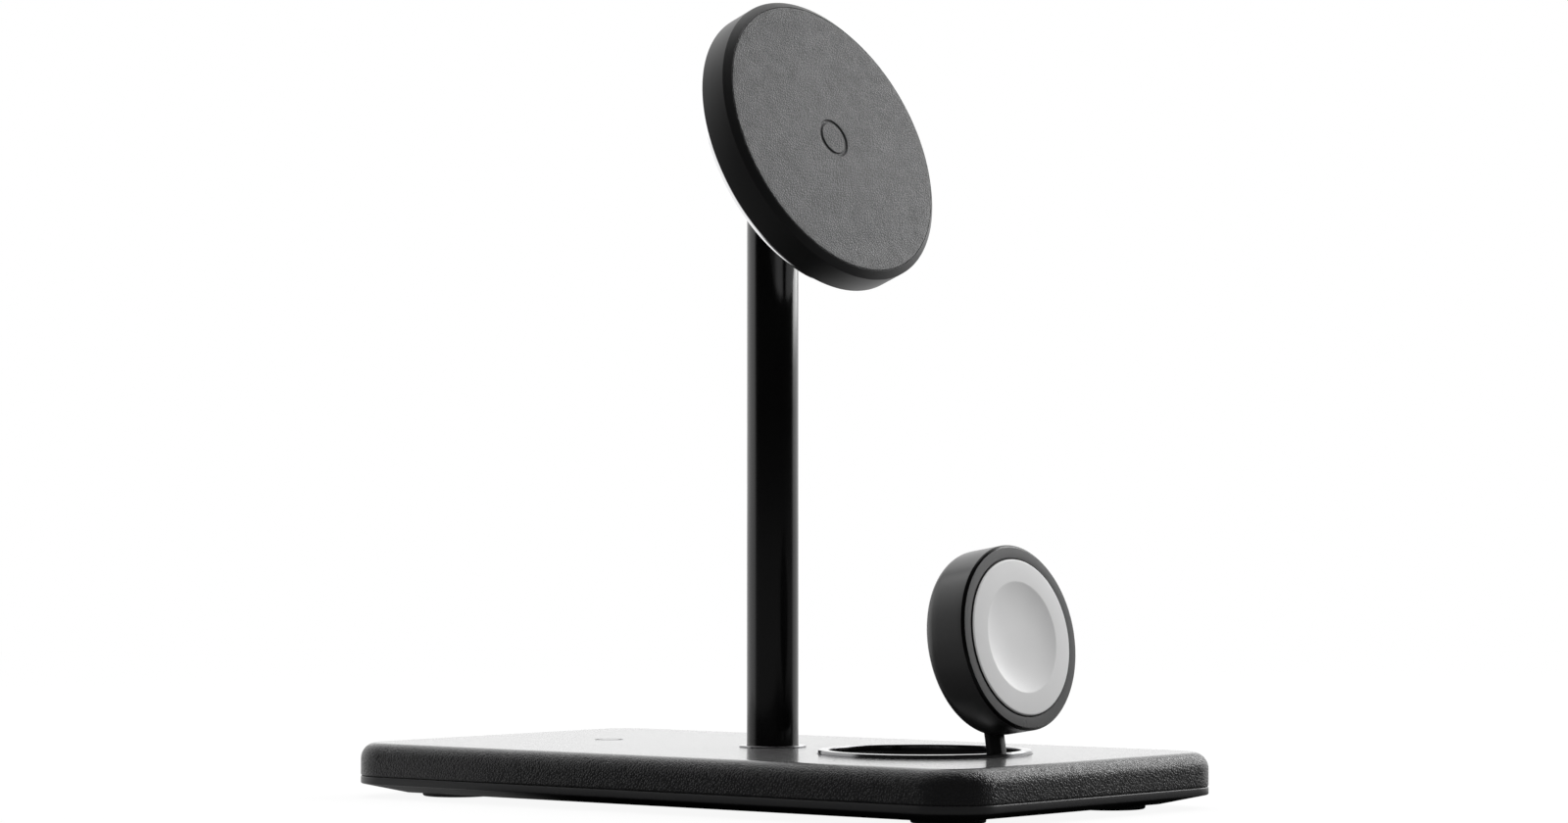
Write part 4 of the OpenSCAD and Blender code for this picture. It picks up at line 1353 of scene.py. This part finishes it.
class Workshop:
    """Turns meshes into pieces that ride on the frame, and dresses the CAD nodes."""

    def __init__(self) -> None:
        """Starts with no finish made."""
        self.made: dict[str, bpy.types.Material] = {}

    def finish(self, finish: Finish) -> bpy.types.Material:
        """Makes the material of a finish, once.

        Args:
            finish: The finish.

        Returns:
            Its material.
        """
        if finish.name not in self.made:
            self.made[finish.name] = finish.make()
        return self.made[finish.name]

    def piece(self, body: Body, mesh: Mesh, finish: Finish, slot: Slot, node: str | None) -> bpy.types.Object:
        """Makes a mesh a piece of the object.

        Args:
            body: The body that it rides on.
            mesh: The piece's mesh, in place.
            finish: Its finish.
            slot: The record's slot that its finish stands for; not used.
            node: The CAD node that it replaces, if it does.

        Returns:
            The piece.
        """
        piece = bpy.data.objects.new(mesh.name, mesh)
        bpy.context.scene.collection.objects.link(piece)
        mesh.materials.clear()
        mesh.materials.append(self.finish(finish))
        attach(piece, body.value)
        if node:
            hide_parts(node)
        LOG.info("%s: %d faces, rides on %s", piece.name, len(mesh.polygons), body.value)
        return piece

    def thicken(self, piece: bpy.types.Object, wall: float) -> None:
        """Gives a skin its thickness in millimetres, inwards from the surface that shows."""
        shell = piece.modifiers.new("wall", "SOLIDIFY")
        shell.thickness, shell.offset = wall * MM, -1.0

    def dress(self, node: str, finish: Finish) -> None:
        """Gives a CAD node its finish.

        Args:
            node: The CAD node.
            finish: Its finish.
        """
        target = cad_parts[node]
        for place in target.material_slots:
            place.material = self.finish(finish)
        if not target.material_slots:
            target.data.materials.append(self.finish(finish))


# Studio


@dataclass(frozen=True)
class Lamp:
    """A square soft lamp, in metres and watts."""

    name: str
    place: Triple
    aim: Triple
    size: float
    power: float

    def hang(self) -> None:
        """Hangs the lamp and turns it to the point it faces."""
        data = bpy.data.lights.new(self.name, "AREA")
        data.shape, data.size, data.energy = "SQUARE", self.size, self.power
        lamp = bpy.data.objects.new(self.name, data)
        x, y, z = np.array(self.place) - np.array(self.aim)
        lamp.location = self.place
        lamp.rotation_euler = (math.atan2(math.hypot(x, y), z), 0.0, math.atan2(x, -y))
        bpy.context.scene.collection.objects.link(lamp)


@dataclass(frozen=True)
class Studio:
    """The camera, the soft lamps, the white surroundings and the floor, in metres."""

    camera_at: Triple = (-0.64072, -0.52957, 0.05391)
    camera_turn: Triple = (91.277, 0.0, -50.528)
    lens: float = 102.70
    bright_side: Triple = (0.62, 0.71, -0.33)
    fill_range: Pair = (-0.3, 0.6)
    shine_range: Pair = (-0.1, 0.16)
    dark_fill: float = 0.6
    dark_shine: float = 0.015
    bright_shine: float = 1.25
    floor_half: float = 30.0
    floor_pale: float = 0.9
    floor_bounce: float = 0.12
    floor_glow: float = 0.92
    glow_reach: Pair = (0.12, 0.9)
    shine_reach: Pair = (0.0, 0.12)
    lamps: tuple[Lamp, ...] = (
        Lamp("key", (0.52, -0.17, 0.34), (0.0, -0.01, 0.09), 0.42, 2.8),
        Lamp("top", (0.25, 0.45, 1.4), (0.0, 0.0, 0.05), 1.2, 9.0),
    )

    def camera(self) -> None:
        """Sets the camera at the photograph's place, turn and lens."""
        data = bpy.data.cameras.new("view")
        data.sensor_width, data.lens, data.clip_start, data.clip_end = 36.0, self.lens, 0.01, 60.0
        eye = bpy.data.objects.new("view", data)
        eye.location = self.camera_at
        eye.rotation_euler = tuple(math.radians(v) for v in self.camera_turn)
        bpy.context.scene.collection.objects.link(eye)
        bpy.context.scene.camera = eye

    def side_level(self, wiring: Wiring, direction: Socket, over: Pair, levels: Pair) -> Socket:
        """The level of a direction by its cosine to the bright side, eased over a range.

        Args:
            wiring: The tree to build in.
            direction: The direction.
            over: The cosines where the easing starts and ends.
            levels: The level before it and after it.

        Returns:
            The level.
        """
        unit = wiring.add("VectorMath", direction, operation="NORMALIZE").outputs[0]
        cosine = wiring.add("VectorMath", unit, self.bright_side, operation="DOT_PRODUCT").outputs["Value"]
        return wiring.span(cosine, over, levels, Ease.SOFT)

    def surroundings(self) -> None:
        """Makes the surroundings: white to the camera, with a bright and a dim side for the rest."""
        world = bpy.data.worlds.new("white_room")
        bpy.context.scene.world = world
        wiring = Wiring(world)
        direction, path = wiring.add("TexCoord").outputs["Generated"], wiring.add("LightPath").outputs
        shine = self.side_level(wiring, direction, self.shine_range, (self.dark_shine, self.bright_shine))
        fill = self.side_level(wiring, direction, self.fill_range, (self.dark_fill, 1.0))
        level = wiring.blend(path["Is Diffuse Ray"], shine, fill)
        back = wiring.add("Background", WHITE, wiring.blend(path["Is Camera Ray"], level, 1.0))
        wiring.add("OutputWorld", back.outputs[0])

    def floor_finish(self) -> bpy.types.Material:
        """Makes the floor's finish: pale, with a glow that meets the white surroundings.

        To the camera its glow rises with the distance from the object. In reflections it
        rises with the distance too, and only towards the bright side.

        Returns:
            The material.
        """
        material = bpy.data.materials.new("pale_floor")
        wiring = Wiring(material)
        path, place = wiring.add("LightPath").outputs, wiring.add("TexCoord").outputs["Object"]
        far = wiring.add("VectorMath", place, operation="LENGTH").outputs["Value"]
        to_camera = wiring.span(far, self.glow_reach, (self.floor_glow, 1.0), Ease.SOFT)
        distance = wiring.span(far, self.shine_reach, (0.0, 1.0), Ease.SOFT)
        side = self.side_level(wiring, place, self.shine_range, (self.dark_shine, 1.0))
        mirrored = wiring.add("Math", path["Is Glossy Ray"], path["Is Transmission Ray"], operation="MAXIMUM")
        in_shine = wiring.product(mirrored.outputs[0], wiring.product(distance, side))
        share = wiring.blend(path["Is Camera Ray"], in_shine, to_camera)
        tone = wiring.blend(path["Is Camera Ray"], self.floor_bounce, self.floor_pale)
        matt, glow = wiring.add("BsdfDiffuse", tone), wiring.add("Emission")
        both = wiring.add("MixShader", share, matt.outputs[0], glow.outputs[0])
        wiring.add("OutputMaterial", both.outputs[0])
        return material

    def floor(self) -> None:
        """Lays a wide pale floor that keeps the object's soft shadow."""
        line = np.linspace(-self.floor_half, self.floor_half, 9)
        grid = np.stack(np.meshgrid(line, line, [0.0], indexing="ij"), -1)[:, :, 0]
        mesh = bpy.data.meshes.new("floor")
        mesh.from_pydata(grid.reshape(-1, 3).tolist(), [], Patch(grid).quads(0).tolist())
        mesh.materials.append(self.floor_finish())
        floor = bpy.data.objects.new("floor", mesh)
        bpy.context.scene.collection.objects.link(floor)

    def build(self) -> None:
        """Sets up the camera, the surroundings, the floor and the lamps."""
        self.camera()
        self.surroundings()
        self.floor()
        for lamp in self.lamps:
            lamp.hang()
        bpy.context.scene.view_settings.view_transform = "Standard"


def main() -> None:
    """Builds the studio, the sub-assemblies and their finishes, in that order."""
    logging.basicConfig(level=logging.INFO, format="%(message)s")
    Studio().build()
    shop, base, post, head, watch = Workshop(), BaseBox(), Post(), PhoneHead(), WatchDisc()
    cover = shop.piece(Body.BASE, base.cover(), LEATHER, Slot.LEATHER, "base_cover")
    shop.thicken(cover, base.skin)
    pieces = {
        Body.BASE: [
            (base.band(), BAND, Slot.BAND, "trim_band"),
            (base.polished_ring(), RING, Slot.RING, "pocket_ring"),
            (base.feet(), RUBBER, Slot.RUBBER, "rubber_feet"),
            (softened_copy("pocket_liner", "pocket_wall", 0.1), POCKET, Slot.POCKET, "pocket_liner"),
            (softened_copy("usb_socket", "socket_shell", 0.06), SOCKET, Slot.SOCKET, "usb_socket"),
            (post.barrel(), BLACK, Slot.BLACK, "post_tube"),
            (post.collar(), RING, Slot.RING, "post_collar"),
            (softened_copy("post_knuckle", "tilt_knuckle", 0.2), BLACK, Slot.BLACK, "post_knuckle"),
        ],
        Body.HEAD: [
            # The pad's lighter leather paints the light on the head's face.
            (head.pad(), PAD_LEATHER_PAINTED_LIGHT, Slot.LEATHER, "head_pad"),
            (head.rim(), RIM, Slot.RIM, "head_rim"),
            (head.back_shell(), BRIGHT, Slot.BRIGHT, "head_back_shell"),
            (softened_copy("head_lug", "tilt_lug", 0.15), BLACK, Slot.BLACK, "head_lug"),
        ],
        Body.WATCH: [
            (watch.housing(), HOUSING, Slot.RIM, "disc_housing"),
            (watch.face(), PALE, Slot.PALE, "disc_face"),
            # The black ring in the gap round the face paints the gap's shade.
            (watch.painted_gap_ring(), PAINTED_GAP_SHADE, Slot.RUBBER, None),
            # The black strip on the housing's chamfer paints a dark reflection there.
            (watch.painted_reflection_strip(), PAINTED_REFLECTION_LACQUER, Slot.BLACK, None),
            (softened_copy("hinge_arm", "gooseneck_arm", 0.15), ARM, Slot.BLACK, "hinge_arm"),
        ],
    }
    for body, rows in pieces.items():
        for row in rows:
            shop.piece(body, *row)
    for finish, nodes in NODE_FINISHES.items():
        for node in nodes.split():
            shop.dress(node, finish)


if __name__ == "__main__":
    main()
